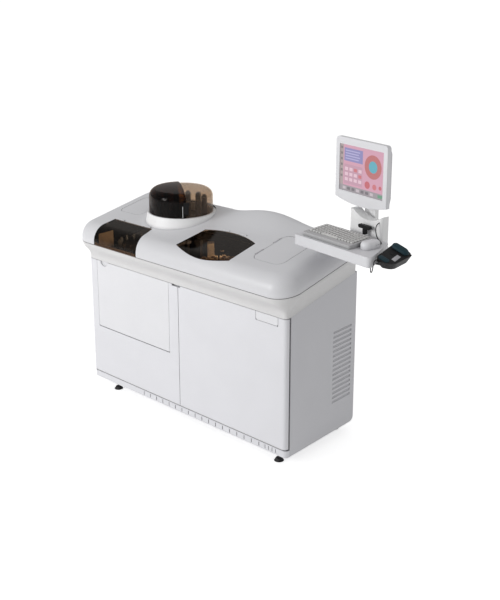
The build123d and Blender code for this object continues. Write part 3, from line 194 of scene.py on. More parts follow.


# %% [markdown]
# ## Painted steel, moulded plastics and rubber
# Folded sheet steel is powder coated: satin, with an orange peel about a millimetre across. It is painted whiter on
# the doors and greyer on the sides, as painted light and shade. The covers are moulded in ABS, in whites that
# differ a little from tool to tool, with a finer grain; the brightest white is painted light. What the operator
# grips is black or soft teal plastic, and what lies under the windows is brown and tan. A grain under half a
# millimetre doesn't show at this distance, but it keeps the highlights from looking glassy.

# %% Painted steel, moulded plastics and rubber
# Painted light and shade: one powder coat, painted whiter on the doors, which face the light, and greyer on the
# sides, which are in shade.
solid("powder coat with painted light", "#EBEBEF", "#8C8C90")
solid("powder coat with painted shade", "#D6D6DA", "#77777B")
# The long cover is the smoothest, and the band below it is a little warmer and duller.
solid("cover ABS", "#E2E2E5", "#7E7E82", rough=(0.32, 0.42), peel=0.71, edge=1.5)
solid("band ABS", "#E3E2E2", "#767578", rough=(0.42, 0.55), peel=0.71)
solid("white ABS", "#EDEDF0", "#8E8E92", peel=0.625, edge=0.8)
# Painted light: collar and monitor support are lit copies of white ABS, painted brighter than the other whites,
# almost without drift.
solid("white ABS with painted light", "#FDFDFD", "#9C9CA0", peel=0.625, patch=0.01)
solid("grey ABS", "#BDBDC1", "#5A5A5E", peel=0.625, edge=0.8)
# Painted shade: key caps stand close together, so their seams are darkened nearly black, and the case's bed below
# them is painted dark.
solid("key cap ABS", "#E4E4E2", "#3A3A3A", peel=0.455, edge=0.7, depth=0.03)
solid("keyboard case ABS", "#BEBEBF", "#464648", peel=0.455, edge=0.8)
solid("key bed painted shade", "#2E2E30", "#0C0C0C", rough=(0.6, 0.8), peel=0.455, patch=0.06, shine=0.2)
# Black ABS keeps a weak sheen, and the soft grip is duller still.
solid("black ABS", "#0E0E10", "#030304", rough=(0.45, 0.6), peel=0.556, edge=0.9, patch=0.1, shine=0.3)
solid("teal soft grip", "#0D343E", "#03080A", rough=(0.5, 0.65), peel=0.556, edge=1.5, patch=0.1, shine=0.35)
# Polypropylene of tubes and packs is waxy: it drifts more, and the brown one shines as if coated.
solid("brown polypropylene", "#33251C", "#0C0705", peel=0.83, patch=0.08, coat=0.3)
solid("tan polypropylene", "#DECBAE", "#4A3C2C", peel=0.83, patch=0.05)
solid("black rubber", "#1E1E20", "#0A0A0A", rough=(0.6, 0.75), peel=0.417, patch=0.08)
# Painted shade: the shells' inner faces are painted a matt dark brown, for the shade inside the closed cabinet.
solid("painted inner shade", "#1B1714", "#060505", rough=(0.6, 0.8), patch=0.1, shine=0.2)
print("opaque finishes:", len(FINISH))

# %% [markdown]
# ## Bare metal
# Sheet and turned parts that no paint covers show fine lines, drawn one way by the brush or the lathe. A noise on
# the piece's own axes, squeezed sixty times along one of them, gives lines about 0.6 mm wide and 33 mm long,
# and sets tone, roughness and relief together, as on real metal.

# %% Bare metal
STREAK_LENGTH = 33.33
SQUEEZE = 60.0


def brushed(name, tone, across=(1.0, 1.0, SQUEEZE)):
    """Bare metal, with its fine lines drawn one way."""
    tree = new_tree(name)
    place = add(tree, "TexCoord", out="Object")
    lines = add(tree, "Mapping", {"Vector": place, "Scale": across})
    streak = add(tree, "TexNoise", {
        "Vector": lines, "Scale": 1.0 / (STREAK_LENGTH * MM), "Detail": 4.0,
    }, out="Fac")
    body = add(tree, "BsdfPrincipled", {
        "Base Color": add(tree, "Mix", {0: streak, 6: colour(tone, 0.8), 7: colour(tone)}, out=2, data_type="RGBA"),
        "Metallic": 1.0,
        "Roughness": add(tree, "MapRange", {"Value": streak, "To Min": 0.25, "To Max": 0.45}),
        "Normal": add(tree, "Bump", {"Height": streak, "Strength": 0.2, "Distance": 0.1 * MM}),
    })
    add(tree, "OutputMaterial", {"Surface": body}, out=None)


brushed("brushed steel", "#A8A8AB")
brushed("brushed aluminium", "#B9BABD", across=(SQUEEZE, 1.0, 1.0))
# Painted shade: the deck and rotor under the windows are steel painted near-black, for the shade inside the closed
# cabinet.
brushed("steel with painted shade", "#2E2823", across=(SQUEEZE, 1.0, 1.0))
print("finishes with metals:", len(FINISH))

# %% [markdown]
# ## Acrylic windows and screen glass
# Windows and dome are acrylic a few millimetres thick, tinted through and polished. A full glass shader would bend
# the light at each face and make noise. As the walls are thin and even, a see-through shader that tints each face
# looks the same, with a trace of haze in it and more gloss the more the surface turns away. The faint waves in the
# gloss, about 45 mm long, are those of a moulded sheet.

# %% Acrylic windows and screen glass
SMEAR_SIZE = 71.4
WAVE_SIZE = 45.45


def clear(name, tint, haze, haze_share=0.06, rough=0.04):
    """Thin tinted acrylic, with a trace of haze in it and gloss at a glance."""
    tree = new_tree(name)
    smear = grain(tree, SMEAR_SIZE)
    relief = add(tree, "Bump", {"Height": grain(tree, WAVE_SIZE), "Strength": 0.05, "Distance": 0.1 * MM})
    passing = add(tree, "BsdfTransparent", {"Color": colour(tint)})
    dusty = add(tree, "BsdfPrincipled", {"Base Color": colour(haze), "Roughness": 0.6})
    dust = add(tree, "MapRange", {"Value": smear, "To Min": 0.6 * haze_share, "To Max": 1.4 * haze_share})
    body = add(tree, "MixShader", {0: dust, 1: passing, 2: dusty})
    polish = add(tree, "MapRange", {"Value": smear, "To Min": rough, "To Max": 1.6 * rough})
    shine = add(tree, "BsdfAnisotropic", {"Roughness": polish, "Normal": relief})
    facing = add(tree, "LayerWeight", {"Blend": 0.5, "Normal": relief}, out="Facing")
    glance = add(tree, "Math", {0: facing, 1: 4.0}, operation="POWER")
    share = add(tree, "MapRange", {"Value": glance, "To Min": 0.008, "To Max": 0.4})
    glossy = add(tree, "MixShader", {0: share, 1: body, 2: shine})
    add(tree, "OutputMaterial", {"Surface": glossy}, out=None)


clear("smoked acrylic", "#CFBEAC", "#120C0A", haze_share=0.02, rough=0.03)
clear("dark acrylic", "#94785E", "#120C0A", haze_share=0.03)
clear("tan acrylic", "#E7DDD2", "#A8988A", haze_share=0.10)
# Tubes and bottles are milky, and the screen's glass is etched against glare.
clear("clear polypropylene", "#E9EEF0", "#D5DCE0", haze_share=0.2, rough=0.1)
clear("screen glass", "#F4F4F4", "#303034", haze_share=0.02, rough=0.2)
print("all finishes:", len(FINISH))

# %% [markdown]
# ## Which piece has which finish
# The folded steel cabinet is painted, the top and the band are moulded in two slightly different whites, and
# what the operator handles is darker. A table says so in one place, and a loop dresses the frame's pieces from it.

# %% Finishes of the frame's pieces
WEARS = {
    # Painted light: the doors and kick plate wear the powder coat painted whiter.
    "powder coat with painted light": ("left_door", "right_door", "kick_plate"),
    # Painted shade: the sides, rear panel and tray arm wear the powder coat painted greyer.
    "powder coat with painted shade": ("left_side_panel", "right_side_panel", "rear_panel", "tray_arm"),
    "cover ABS": ("top_cover", "service_lid", "corner_lid", "keyboard_tray"),
    "band ABS": ("skirt_band",),
    "white ABS": (
        "access_flap", "label_tab", "monitor_bezel", "mouse_body", "mouse_left_button", "mouse_right_button",
    ),
    # Painted light: collar and support are painted brighter than white ABS.
    "white ABS with painted light": ("dome_collar", "monitor_support"),
    "grey ABS": ("sample_probe_arm", "reagent_probe_arm", "waste_bin", "monitor_back"),
    "key cap ABS": ("keyboard_keys", "space_bar"),
    "keyboard case ABS": ("keyboard_case",),
    "tan polypropylene": ("reagent_packs",),
    "black ABS": (
        "dome_handle", "sample_carousel", "reagent_carousel", "bead_carousel", "luminometer", "power_inlet",
        "tilt_handle", "scanner_cradle", "scanner_trigger", "scanner_body",
    ),
    "brown polypropylene": ("bead_tubes",),
    "black rubber": ("level_feet",),
    "brushed steel": (
        "chassis_frame", "floor_pan", "hinge_pins", "drive_units", "sample_probe_post", "reagent_probe_post",
        "arm_post",
    ),
    "brushed aluminium": ("syringe_pumps", "power_supply"),
    # Painted shade: the deck and rotor are painted near-black.
    "steel with painted shade": ("deck_plate", "incubator_rotor"),
    "smoked acrylic": ("sample_window", "reagent_window"),
    "dark acrylic": ("dome_turning_cover",),
    "tan acrylic": ("dome_fixed_cover",),
    "clear polypropylene": ("sample_tubes", "fluid_bottles"),
    "screen glass": ("monitor_screen",),
}
for finish, nodes in WEARS.items():
    for node in nodes:
        NODES[node].data.materials.clear()
        NODES[node].data.materials.append(FINISH[finish])
print("pieces dressed:", sum(len(nodes) for nodes in WEARS.values()))

# %% [markdown]
# ## Second finishes
# Some pieces wear two finishes. The windows' hinge knuckles are in the cover's colour, the shells of cover, band
# and rear panel are painted dark inside as painted shade, and the keyboard's bed is painted dark under the keys as
# painted shade. The pieces could be cut in two, but a face can carry its own finish, so a rule picks the faces by
# their centre, their normal or their area. A face counts as square on to an axis, or as looking up, when its normal
# reaches a share of one along it.

# %% Second finishes
KNUCKLE_DEPTH = 15.5 * MM
KNUCKLE_AREA = 400.0 * MM * MM
UPWARD = 0.3
SQUARE_ON = 0.5


def second_finish(node, finish, belongs):
    """Gives a second finish to the faces of a piece that a rule picks by centre, normal and area."""
    piece = NODES[node]
    piece.data.materials.append(FINISH[finish])
    place = piece.matrix_world
    turn = place.to_3x3()
    picked = [
        face for face in piece.data.polygons
        if belongs(place @ face.center, (turn @ face.normal).normalized(), face.area)
    ]
    for face in picked:
        face.material_index = 1
    print(node, "faces with", finish, len(picked))


def knuckles_of(node):
    """A window's knuckles: the small faces at its rear edge."""
    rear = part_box(node)[1].y
    return lambda centre, normal, area: centre.y > rear - KNUCKLE_DEPTH and area < KNUCKLE_AREA


def inner_shade_of(node, below):
    """A shell's inner faces: those that look back to its middle and, if asked, those that look down."""
    low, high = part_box(node)
    middle = (low + high) / 2

    def inner(centre, normal, area):
        across = abs(normal.x) > SQUARE_ON and normal.x * (centre.x - middle.x) < 0
        along = abs(normal.y) > SQUARE_ON and normal.y * (centre.y - middle.y) < 0
        return across or along or (below and normal.z < -UPWARD)

    return inner


for window in ("sample_window", "reagent_window"):
    second_finish(window, "cover ABS", knuckles_of(window))
# Painted shade: the inner faces of cover, band and rear panel are painted dark, for the shade inside the cabinet.
second_finish("top_cover", "painted inner shade", inner_shade_of("top_cover", True))
second_finish("skirt_band", "painted inner shade", inner_shade_of("skirt_band", False))
second_finish("rear_panel", "painted inner shade", lambda centre, normal, area: normal.y < -SQUARE_ON)

# %% Key bed
KEYS = NODES["keyboard_keys"]
KEYS_AT = [TRAY.inverted() @ (KEYS.matrix_world @ v.co) for v in KEYS.data.vertices]
KEYS_LOW, KEYS_HIGH = [[pick(p[i] for p in KEYS_AT) for i in (0, 1)] for pick in (min, max)]


def under_keys(centre, normal, area):
    """The case's upward faces inside the keys' outline, widened by a millimetre."""
    place = TRAY.inverted() @ centre
    return normal.z > UPWARD and all(KEYS_LOW[i] - MM < place[i] < KEYS_HIGH[i] + MM for i in (0, 1))


# Painted shade: the case's faces under the keys are painted dark.
second_finish("keyboard_case", "key bed painted shade", under_keys)

# %% [markdown]
# ## Cords
# The scanner's lead leaves its front end, turns down beside the tray's corner and goes into a gland under the
# tray. The mouse's lead lies on the tray and climbs the monitor's support. A cord could be a chain of straight
# tubes, but both are thin and limp, so each is one smooth curve through a few places on the tray.

# %% Cords
CORD_THICK = 4.4 * MM
SCANNER_ROUTE = [
    (0.470, 0.052, 1.095), (0.470, 0.034, 1.095), (0.480, 0.017, 1.084), (0.488, 0.006, 1.069),
    (0.484, 0.005, 1.052), (0.468, 0.015, 1.045), (0.452, 0.030, 1.055), (0.452, 0.030, 1.075),
]
MOUSE_ROUTE = [
    (0.370, 0.152, 1.1165), (0.370, 0.172, 1.1165), (0.362, 0.190, 1.1138), (0.346, 0.203, 1.1138),
    (0.328, 0.207, 1.118), (0.316, 0.206, 1.133), (0.311, 0.205, 1.153), (0.310, 0.206, 1.174),
    (0.311, 0.219, 1.189), (0.311, 0.238, 1.189),
]


def cord_curve(name, route, thick):
    data = bpy.data.curves.new(name, "CURVE")
    data.dimensions = "3D"
    data.bevel_depth = thick / 2
    data.bevel_resolution = 4
    data.resolution_u = 10
    data.use_fill_caps = thick > 0
    line = data.splines.new("NURBS")
    line.points.add(len(route) - 1)
    for point, place in zip(line.points, route):
        point.co = (*(TRAY @ Vector(place)), 1.0)
    line.order_u = 3
    line.use_endpoint_u = True
    return bpy.data.objects.new(name, data)


def make_cord(name, route, node):
    """One tube along the route, which takes the place of the frame's cord."""
    round_curve, line = cord_curve(name, route, CORD_THICK), cord_curve(name + "_line", route, 0.0)
    # The curve has taken the plain name, so Blender adds .001 to the tube's.
    tube = bpy.data.objects.new(name, bpy.data.meshes.new_from_object(round_curve))
    points = [tuple(v.co) for v in bpy.data.meshes.new_from_object(line).vertices]
    bpy.context.scene.collection.objects.link(tube)
    tube.data.materials.clear()
    tube.data.materials.append(FINISH["black rubber"])
    tube.data.shade_smooth()
    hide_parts(node)
    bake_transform(tube)


make_cord("scanner_lead", SCANNER_ROUTE, "scanner_cord")
make_cord("mouse_lead", MOUSE_ROUTE, "mouse_cord")

# %% [markdown]
# ## Mesh tools
# Most small pieces are an outline that is carried through space, as a pressed or moulded part is: a plate is one
# outline at two depths, a blade one outline at two ends, a grip one outline that shrinks as it rises. So one
# function skins rows of places, and another closes the work. Outlines are drawn in the axes of what carries them,
# then turned into place.

# %% Mesh tools


def skin(*rows):
    """A closed form through rows of places, from the first row's cap to the last row's."""
    work = bmesh.new()
    rings = [[work.verts.new(place) for place in row] for row in rows]
    for low, high in zip(rings, rings[1:]):
        for i in range(len(low)):
            k = (i + 1) % len(low)
            work.faces.new((low[i], low[k], high[k], high[i]))
    work.faces.new(rings[0])
    work.faces.new(rings[-1])
    return work


def finished(work, name):
    bmesh.ops.recalc_face_normals(work, faces=work.faces)
    mesh = bpy.data.meshes.new(name)
    work.to_mesh(mesh)
    work.free()
    return mesh


def as_object(name, mesh, finish, body, place=Matrix()):
    piece = bpy.data.objects.new(name, mesh)
    bpy.context.scene.collection.objects.link(piece)
    mesh.transform(place)
    mesh.materials.append(FINISH[finish])
    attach(piece, body)


# %% Outlines and plates


def rounded_outline(width, height, radius, steps=6):
    """A rectangle about the origin, with its corners rounded in a few steps each."""
    points = []
    for i, (sx, sy) in enumerate(((1, -1), (1, 1), (-1, 1), (-1, -1))):
        x, y = sx * (width / 2 - radius), sy * (height / 2 - radius)
        for k in range(steps + 1):
            angle = radians(-90 + 90 * i + 90 * k / steps)
            points.append((x + radius * cos(angle), y + radius * sin(angle)))
    return points


def rectangle(x, z, width, height):
    return [(x + a * width / 2, z + b * height / 2) for a, b in ((-1, -1), (1, -1), (1, 1), (-1, 1))]


def plate(points, thick):
    """A plate in the XZ plane, whose face looks to -Y."""
    return finished(skin(*[[(x, y, z) for x, z in points] for y in (0.0, -thick)]), "plate")


# %% [markdown]
# ## Louvre blades
# Each slot in the side and rear panels is pressed as a louvre: a narrow blade leans in behind it and hides the
# inside of the cabinet. The blades could be copied one by one. As they repeat at the slots' pitch, one blade is
# drawn, and a small node tree repeats it along a line, with the blade, the count, the step and the finish as its
# named inputs.

# %% One blade
BLADE_THICK = 0.8 * MM
BLADE_LEAN = 4.0 * MM
BLADE_FOLD = 3.0 * MM


def blade_mesh(length, height):
    """A thin blade with folded edges, leaning in from the slot's lower edge, along its own Y axis."""
    t, lean, top = BLADE_THICK, BLADE_LEAN, height + BLADE_FOLD
    outline = [(0, 0), (-lean, height), (-lean, top), (-lean - t, top), (-lean - t, height), (-t, -t)]
    return finished(skin(*[[(x, y, z) for x, z in outline] for y in (0.0, length)]), "blade")


# %% A row of blades
ROW = bpy.data.node_groups.new("row of blades", "GeometryNodeTree")
ROW_INPUTS = {
    name: ROW.interface.new_socket(name, in_out="INPUT", socket_type="NodeSocket" + kind).identifier
    for name, kind in (("Blade", "Object"), ("Count", "Int"), ("Step", "Vector"), ("Finish", "Material"))
}
ROW.interface.new_socket("Geometry", in_out="OUTPUT", socket_type="NodeSocketGeometry")

asked = {name: add(ROW, "NodeGroupInput", out=name) for name in ROW_INPUTS}
line = add(ROW, "MeshLine", {"Count": asked["Count"], "Offset": asked["Step"]}, mode="OFFSET")
blade = add(ROW, "ObjectInfo", {"Object": asked["Blade"]}, out="Geometry")
blades = add(ROW, "InstanceOnPoints", {"Points": line, "Instance": blade})
real = add(ROW, "RealizeInstances", {"Geometry": blades})
painted = add(ROW, "SetMaterial", {"Geometry": real, "Material": asked["Finish"]})
add(ROW, "NodeGroupOutput", {"Geometry": painted}, out=None)


def repeated(mesh, count, pitch, finish):
    """Copies of one mesh above each other, made by the node tree and kept as one plain mesh."""
    seed = bpy.data.objects.new("seed", mesh)
    holder = bpy.data.objects.new("row", bpy.data.meshes.new("row"))
    for spare in (seed, holder):
        bpy.context.scene.collection.objects.link(spare)
    row = holder.modifiers.new("row", "NODES")
    row.node_group = ROW
    values = {"Blade": seed, "Count": count, "Step": (0.0, 0.0, pitch), "Finish": FINISH[finish]}
    for name, value in values.items():
        row[ROW_INPUTS[name]] = value
    bpy.context.view_layer.update()
    baked = bpy.data.meshes.new_from_object(holder.evaluated_get(bpy.context.evaluated_depsgraph_get()))
    for spare in (holder, seed):
        bpy.data.objects.remove(spare)
    baked.materials.clear()
    print("row of", count, "has", len(baked.polygons), "faces")
    return baked


# %% Rows of louvres
SIDE_SLOT, SIDE_COUNT, SIDE_PITCH = 146.0 * MM, 16, 24.3 * MM
REAR_SLOT, REAR_COUNT, REAR_PITCH = 240.0 * MM, 9, 22.0 * MM
SIDE_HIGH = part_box("right_side_panel")[1]
REAR_LOW, REAR_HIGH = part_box("rear_panel")
PANEL_SHEET = 1.2 * MM
SIDE_BEHIND, SIDE_FIRST, SIDE_HEIGHT = 180.0 * MM, 208.4 * MM, 10.0 * MM
REAR_STARTS, REAR_FIRST, REAR_HEIGHT = (173.7 * MM, 973.7 * MM), 300.4 * MM, 8.0 * MM


def louvre_row(name, blade, count, pitch, place):
    # The blades wear the panels' powder coat, painted greyer as painted shade.
    row = repeated(blade, count, pitch, "powder coat with painted shade")
    as_object(name, row, "powder coat with painted shade", "cabinet", place)


side_at = (SIDE_HIGH.x - PANEL_SHEET, SIDE_HIGH.y - SIDE_BEHIND, SIDE_FIRST)
louvre_row("side_louvres", blade_mesh(SIDE_SLOT, SIDE_HEIGHT), SIDE_COUNT, SIDE_PITCH, turned(side_at, 0.0))
for i, start in enumerate(REAR_STARTS):
    rear_at = (REAR_LOW.x + start + REAR_SLOT, REAR_HIGH.y - PANEL_SHEET, REAR_FIRST)
    blade = blade_mesh(REAR_SLOT, REAR_HEIGHT)
    louvre_row(f"rear_louvres_{i}", blade, REAR_COUNT, REAR_PITCH, turned(rear_at, 90.0))

# %% [markdown]
# ## Kick plate's backing
# On the real cabinet a folded strip closes the slots of the kick plate and the gap under the doors from behind, so
# that only their shadow shows. Its folds can't be seen, so one thin plate a few millimetres behind is enough.

# %% Kick plate's backing
KICK_LOW, KICK_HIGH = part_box("kick_plate")
STRIP_LOW, STRIP_HIGH = 55.0 * MM, 92.5 * MM
STRIP_SHORT = 24.0 * MM
STRIP_BEHIND = 4.8 * MM
STRIP_THICK = 0.6 * MM
strip = plate(rectangle(
    (KICK_LOW.x + KICK_HIGH.x) / 2, (STRIP_LOW + STRIP_HIGH) / 2,
    KICK_HIGH.x - KICK_LOW.x - 2 * STRIP_SHORT, STRIP_HIGH - STRIP_LOW,
), STRIP_THICK)
strip_at = turned((0.0, KICK_LOW.y + STRIP_BEHIND, 0.0), 0.0)
as_object("kick_backing", strip, "band ABS", "cabinet", strip_at)
print("strip behind the kick plate, height", round(STRIP_HIGH - STRIP_LOW, 4))

# %% [markdown]
# ## Fittings on the deck
# Through the middle window a tan block, a grey column and a pale ring show behind the reagent rotor. They are small
# moulded fittings on the deck plate, clear of every moving arm. A tan plate at the left side of the sample bay is
# painted light: it stands for the lit part of the bay's inner wall, before the painted shade of the lining. Each
# could be a cube or a cylinder, but a moulded one has round edges that catch the light, so each is an outline drawn
# up to its height, with its top edge bevelled.

# %% Tools for the deck's fittings
DECK_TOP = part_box("deck_plate")[1].z


def standing(outline, height, edge):
    """An upright solid with a rounded top edge."""
    work = skin(*[[(x, y, z) for x, y in outline] for z in (0.0, height)])
    # New faces have no normals yet, and the bevel's shape depends on them.
    work.normal_update()
    rim = [e for e in work.edges if all(v.co.z > height / 2 for v in e.verts)]
    bmesh.ops.bevel(work, geom=rim, offset=edge, segments=3, affect="EDGES", profile=0.6)
    return finished(work, "standing")


def round_outline(across, steps):
    """Nearly a circle: a square whose corners are rounded to within a tenth of a millimetre of its middle."""
    return rounded_outline(across, across, across / 2 - 0.1 * MM, steps)


def ring_mesh(radius, thick, height):
    bpy.ops.mesh.primitive_torus_add(
        major_radius=radius, minor_radius=thick, major_segments=40, minor_segments=12,
    )
    ring = bpy.context.object
    mesh = ring.data
    bpy.data.objects.remove(ring)
    mesh.transform(Matrix.Translation((0, 0, height)))
    mesh.shade_smooth()
    return mesh


def on_deck(x, y, degrees=0.0):
    return turned((x, y, DECK_TOP), degrees)


print("deck's top at", round(DECK_TOP, 4))

# %% Deck fittings
block = standing(rounded_outline(0.036, 0.050, 0.004), 0.093, 0.002)
as_object("deck_block", block, "tan polypropylene", "cabinet", on_deck(-0.273, 0.050, 42.0))
column = standing(round_outline(0.016, 8), 0.086, 0.001)
as_object("deck_column", column, "grey ABS", "cabinet", on_deck(-0.349, 0.060))
CUP_AT = on_deck(-0.210, 0.069)
CUP_HEIGHT = 0.056
cup = standing(round_outline(0.024, 10), CUP_HEIGHT, 0.001)
as_object("deck_cup", cup, "black ABS", "cabinet", CUP_AT)
ring = ring_mesh(0.0095, 0.0016, CUP_HEIGHT + 0.5 * MM)
as_object("deck_cup_ring", ring, "tan polypropylene", "cabinet", CUP_AT)
# Painted light: a tan plate stands for the lit part of the sample bay's left inner wall.
lit_wall_patch = standing(rounded_outline(0.002, 0.100, 0.0009), 0.104, 0.0004)
as_object("sample_bay_wall", lit_wall_patch, "tan polypropylene", "cabinet", on_deck(-0.800, -0.211))
print("faces of the block and the cup:", len(block.polygons), len(cup.polygons))

# %% [markdown]
# ## The dome's painted edge highlight
# A thin white strip, a painted highlight, runs up the leading edge of the turning cover, just left of the handle,
# and turns with it. It stands for the light caught on the acrylic's edge. It is less than a millimetre thick, so a
# narrow plate on the dome's wall shows all of it.

# %% Dome edge highlight
DOME_LOW, DOME_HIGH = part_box("bead_carousel")
DOME_AXIS = (DOME_LOW + DOME_HIGH) / 2
HIGHLIGHT_MIDDLE = 1.064
HIGHLIGHT_TURN = -42.5
HIGHLIGHT_RADIUS = 0.1719
edge_highlight = plate(rounded_outline(0.0024, 0.060, 0.001), 0.0007)
edge_highlight_at = turned((DOME_AXIS.x, DOME_AXIS.y, HIGHLIGHT_MIDDLE), HIGHLIGHT_TURN) @ turned((HIGHLIGHT_RADIUS, 0.0, 0.0), 90.0)
# Painted highlight: a white strip stands for the light caught on the acrylic's leading edge.
as_object("dome_seal", edge_highlight, "white ABS with painted light", "dome_cover", edge_highlight_at)
print("dome's axis", [round(v, 3) for v in DOME_AXIS[:2]])

# %% [markdown]
# ## The scanner's grips and label
# The hand scanner's case is black, with two soft teal grips moulded on, one over its rear end and one at its
# nose, and a pale blank label between them. All three lie on the case's sloping top. A grip could be sculpted, but
# its form is simple: its outline shrinks as it rises. So a list of pairs, the outline's share and its lift in
# millimetres, says how round it is.

# %% Tools for the scanner's grips
SCANNER = TRAY @ turned((0.452, 0.044, 0.0), 14.0)
CASE_LENGTH = 0.176
CASE_TOP = 1.128
FALL_ACROSS = 0.375
FALL_ALONG = 0.13636


def on_case(x, y, lift):
    """A point over the scanner's sloping top, from its place in the scanner's own axes."""
    return SCANNER @ Vector((x, y, CASE_TOP - FALL_ACROSS * x - FALL_ALONG * (CASE_LENGTH - y) + lift))


def moulded(points, rings):
    """A soft form on the sloping top: one outline, drawn in and lifted ring by ring, and closed."""
    x0, y0 = (sum(p[i] for p in points) / len(points) for i in (0, 1))
    mesh = finished(skin(*[
        [on_case(x0 + share * (x - x0), y0 + share * (y - y0), lift * MM) for x, y in points]
        for share, lift in rings
    ]), "moulded")
    mesh.shade_smooth()
    return mesh


def oblong(x, y, width, length, radius):
    return [(x + a, y + b) for a, b in rounded_outline(width, length, radius)]


print("scanner's axes at", [round(v, 3) for v in SCANNER.translation])

# %% Scanner's grips and label
HEAD = [(1.0, -0.3), (0.99, 4.0), (0.96, 8.0), (0.90, 12.0), (0.78, 15.0), (0.55, 17.0), (0.25, 18.0)]
GRIP = [(1.0, -0.3), (1.0, 0.8), (0.96, 1.8), (0.88, 2.6), (0.7, 3.2), (0.4, 3.5), (0.1, 3.6)]
LABEL = [(1.0, -0.2), (1.0, 0.15), (0.98, 0.25)]
rear_grip = moulded(oblong(0.050, 0.146, 0.078, 0.038, 0.015), HEAD)
as_object("scanner_rear_grip", rear_grip, "teal soft grip", "scanner")
nose_grip = moulded(oblong(0.036, 0.027, 0.048, 0.032, 0.013), GRIP)
as_object("scanner_nose_grip", nose_grip, "teal soft grip", "scanner")
label = moulded(oblong(0.066, 0.080, 0.018, 0.052, 0.002), LABEL)
as_object("scanner_label", label, "grey ABS", "scanner")
print("faces of the rear grip:", len(rear_grip.polygons))

# %% [markdown]
# ## The display's picture
# The panel shows a made-up control page: a rose ground with a tool row at the foot, a column at the left, a violet
# field over a table of cells, a ring with a turquoise middle and three discs. A picture file could be laid on the
# glass, but each of these is a plain shape, so each is a thin plate that gives its own light, just before the
# glass, with the faint grain of a panel's dots, drawn as coarse as it needs to show.

# %% Lit shapes
DOT_SIZE = 2.5
FACE_Y = -4.9 * MM
LAYER = 0.06 * MM
SHAPE_THICK = 0.05 * MM


def lit(name, tone):
    """A colour on the display, which gives its own light."""
    tree = new_tree(name)
    dots = add(tree, "MapRange", {"Value": grain(tree, DOT_SIZE), "To Min": 0.0, "To Max": 0.12})
    glow = add(tree, "Mix", {0: dots, 6: colour(tone), 7: colour("#F4EEF2")}, out=2, data_type="RGBA")
    face = add(tree, "BsdfPrincipled", {
        "Base Color": colour("#1A1A1C"), "Roughness": 0.3, "Emission Color": glow, "Emission Strength": 1.0,
    })
    add(tree, "OutputMaterial", {"Surface": face}, out=None)


def shown(name, points, tone, layer):
    """One lit shape on the screen. A shape on a higher layer lies a hair before those below."""
    finish = "display " + tone
    if finish not in FINISH:
        lit(finish, tone)
    place = MONITOR @ Matrix.Translation((0.0, FACE_Y - LAYER * layer, 0.0))
    as_object("display_" + name, plate(points, SHAPE_THICK), finish, "monitor", place)


def disc(x, z, radius, steps=40):
    angles = [2 * pi * i / steps for i in range(steps)]
    return [(x + radius * cos(a), z + radius * sin(a)) for a in angles]


# %% The page's fields
WIDE, HIGH = 0.286, 0.2145
TOOL_Z = 0.013 - HIGH / 2
SIDE_X = 0.011 - WIDE / 2
ROSE, RED = "#C06068", "#B84B55"
shown("ground", rectangle(0, 0, WIDE, HIGH), "#C891A6", 0)
shown("tool_row", rectangle(0, TOOL_Z, WIDE, 0.026), "#8E878C", 1)
shown("side_row", rectangle(SIDE_X, 0.013, 0.022, HIGH - 0.026), "#A0908F", 1)
shown("upper_field", rectangle(-0.054, 0.062, 0.122, 0.060), "#7C78AE", 1)
shown("lower_field", rectangle(-0.054, -0.028, 0.122, 0.090), "#B88A9E", 1)
shown("ring", disc(0.074, 0.030, 0.054), "#B05A5A", 2)
shown("ring_middle", disc(0.074, 0.030, 0.027), "#3F9FB2", 3)
shown("disc_1", disc(0.040, -0.056, 0.017), RED, 2)
shown("disc_2", disc(0.086, -0.058, 0.013), ROSE, 2)
shown("disc_3", disc(0.122, -0.056, 0.009), RED, 2)
shown("mark", rectangle(WIDE / 2 - 0.020, TOOL_Z, 0.030, 0.014), "#4E8A6A", 2)
print("page", WIDE, "by", HIGH)

# %% The page's lines, cells and buttons
for i in range(4):
    short = i % 2
    line = rectangle(-0.060 - 0.004 * short, 0.080 - 0.012 * i, 0.096 - 0.008 * short, 0.005)
    shown(f"line_{i}", line, "#A9A4CC", 2)
for i in range(12):
    cell = rectangle(-0.099 + 0.030 * (i % 4), -0.004 - 0.024 * (i // 4), 0.021, 0.015)
    shown(f"cell_{i}", cell, ROSE if i % 5 == 2 else "#D9B7C4", 2)
for i in range(7):
    button = rectangle(-0.112 + 0.030 * i, TOOL_Z, 0.020, 0.013)
    shown(f"tool_{i}", button, "#5E585E" if i % 3 else "#B9AEB4", 2)
for i in range(6):
    shown(f"side_{i}", rectangle(SIDE_X, 0.090 - 0.026 * i, 0.013, 0.011), "#6E6466", 2)
print("tones on the page:", sum(name.startswith("display ") for name in FINISH))

# %% [markdown]
# ## Floor and room light
# The analyzer stands on a white floor in an even room. A white floor under plain light would render grey, and more
# light would burn out the white covers. So the floor gives a faint light of its own that only the camera, mirrors
# and windows see, which takes it to white and leaves the shadow on it. The room's light does the same.

# %% Floor and room light
FLOOR_GLOW = 0.6
FLOOR_PATCH = 666.7
FLOOR_WIDE = 120.0
ROOM_LIGHT = 0.52


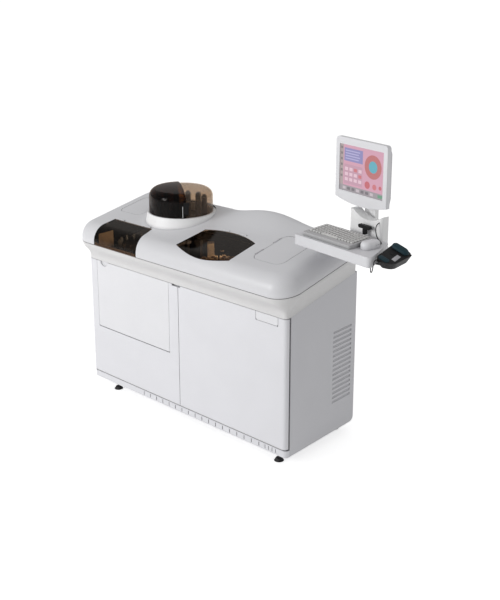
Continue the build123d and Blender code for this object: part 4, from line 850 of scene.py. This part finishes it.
def make_floor():
    mesh = bpy.data.meshes.new("floor")
    mesh.from_pydata([(x, y, 0) for x, y in rectangle(0, 0, FLOOR_WIDE, FLOOR_WIDE)], [], [(0, 1, 2, 3)])
    tree = new_tree("pale floor")
    tone = add(tree, "Mix", {
        0: grain(tree, FLOOR_PATCH), 6: colour("#F4F4F4"), 7: colour("#FAFAFA"),
    }, out=2, data_type="RGBA")
    seen = add(tree, "LightPath", out="Is Camera Ray")
    for ray in ("Is Glossy Ray", "Is Transmission Ray"):
        seen = add(tree, "Math", {0: seen, 1: add(tree, "LightPath", out=ray)}, operation="MAXIMUM")
    face = add(tree, "BsdfPrincipled", {
        "Base Color": tone, "Roughness": 0.9, "Emission Color": colour("#FFFFFF"),
        "Emission Strength": add(tree, "Math", {0: seen, 1: FLOOR_GLOW}, operation="MULTIPLY"),
    })
    add(tree, "OutputMaterial", {"Surface": face}, out=None)
    mesh.materials.append(FINISH["pale floor"])
    floor = bpy.data.objects.new("floor", mesh)
    bpy.context.scene.collection.objects.link(floor)


def make_world():
    world = bpy.data.worlds.new("room light")
    world.use_nodes = True
    tree = world.node_tree
    sky = tree.nodes["Background"]
    camera, through = (add(tree, "LightPath", out=ray) for ray in ("Is Camera Ray", "Is Transmission Ray"))
    seen = add(tree, "Math", {0: camera, 1: through}, operation="MAXIMUM")
    strength = add(tree, "MapRange", {"Value": seen, "To Min": ROOM_LIGHT, "To Max": 1.0})
    sky.inputs["Color"].default_value = colour("#FFFFFF")
    tree.links.new(strength, sky.inputs["Strength"])
    bpy.context.scene.world = world


make_floor()
make_world()
print("room light", ROOM_LIGHT, "floor glow", FLOOR_GLOW)

# %% [markdown]
# ## Lamps
# One large soft lamp stands at the front left: the cabinet's front is nearly white, its top is light grey and its
# right side is in soft shade. Behind smoked windows all this light would leave only black, so two lamps of a small
# fraction of a watt hang inside and lift the shapes there.

# %% Lamps


def soft_light(name, place, aim, size, power):
    data = bpy.data.lights.new(name, "AREA")
    data.shape, data.size, data.energy = "DISK", size, power
    lamp = bpy.data.objects.new(name, data)
    lamp.location = place
    lamp.visible_camera = False
    lamp.rotation_euler = (Vector(aim) - Vector(place)).to_track_quat("-Z", "Y").to_euler()
    bpy.context.scene.collection.objects.link(lamp)


soft_light("key", (-2.2, -5.0, 2.7), (0.0, -0.2, 0.6), 2.2, 120.0)
soft_light("inside the middle window", (-0.13, -0.02, 0.940), (-0.27, 0.06, 0.84), 0.05, 0.17)
soft_light("inside the sample window", (-0.64, -0.13, 0.925), (-0.76, -0.21, 0.87), 0.04, 0.11)
bpy.context.scene.view_settings.view_transform = "Standard"
print("lamps:", len(bpy.data.lights))
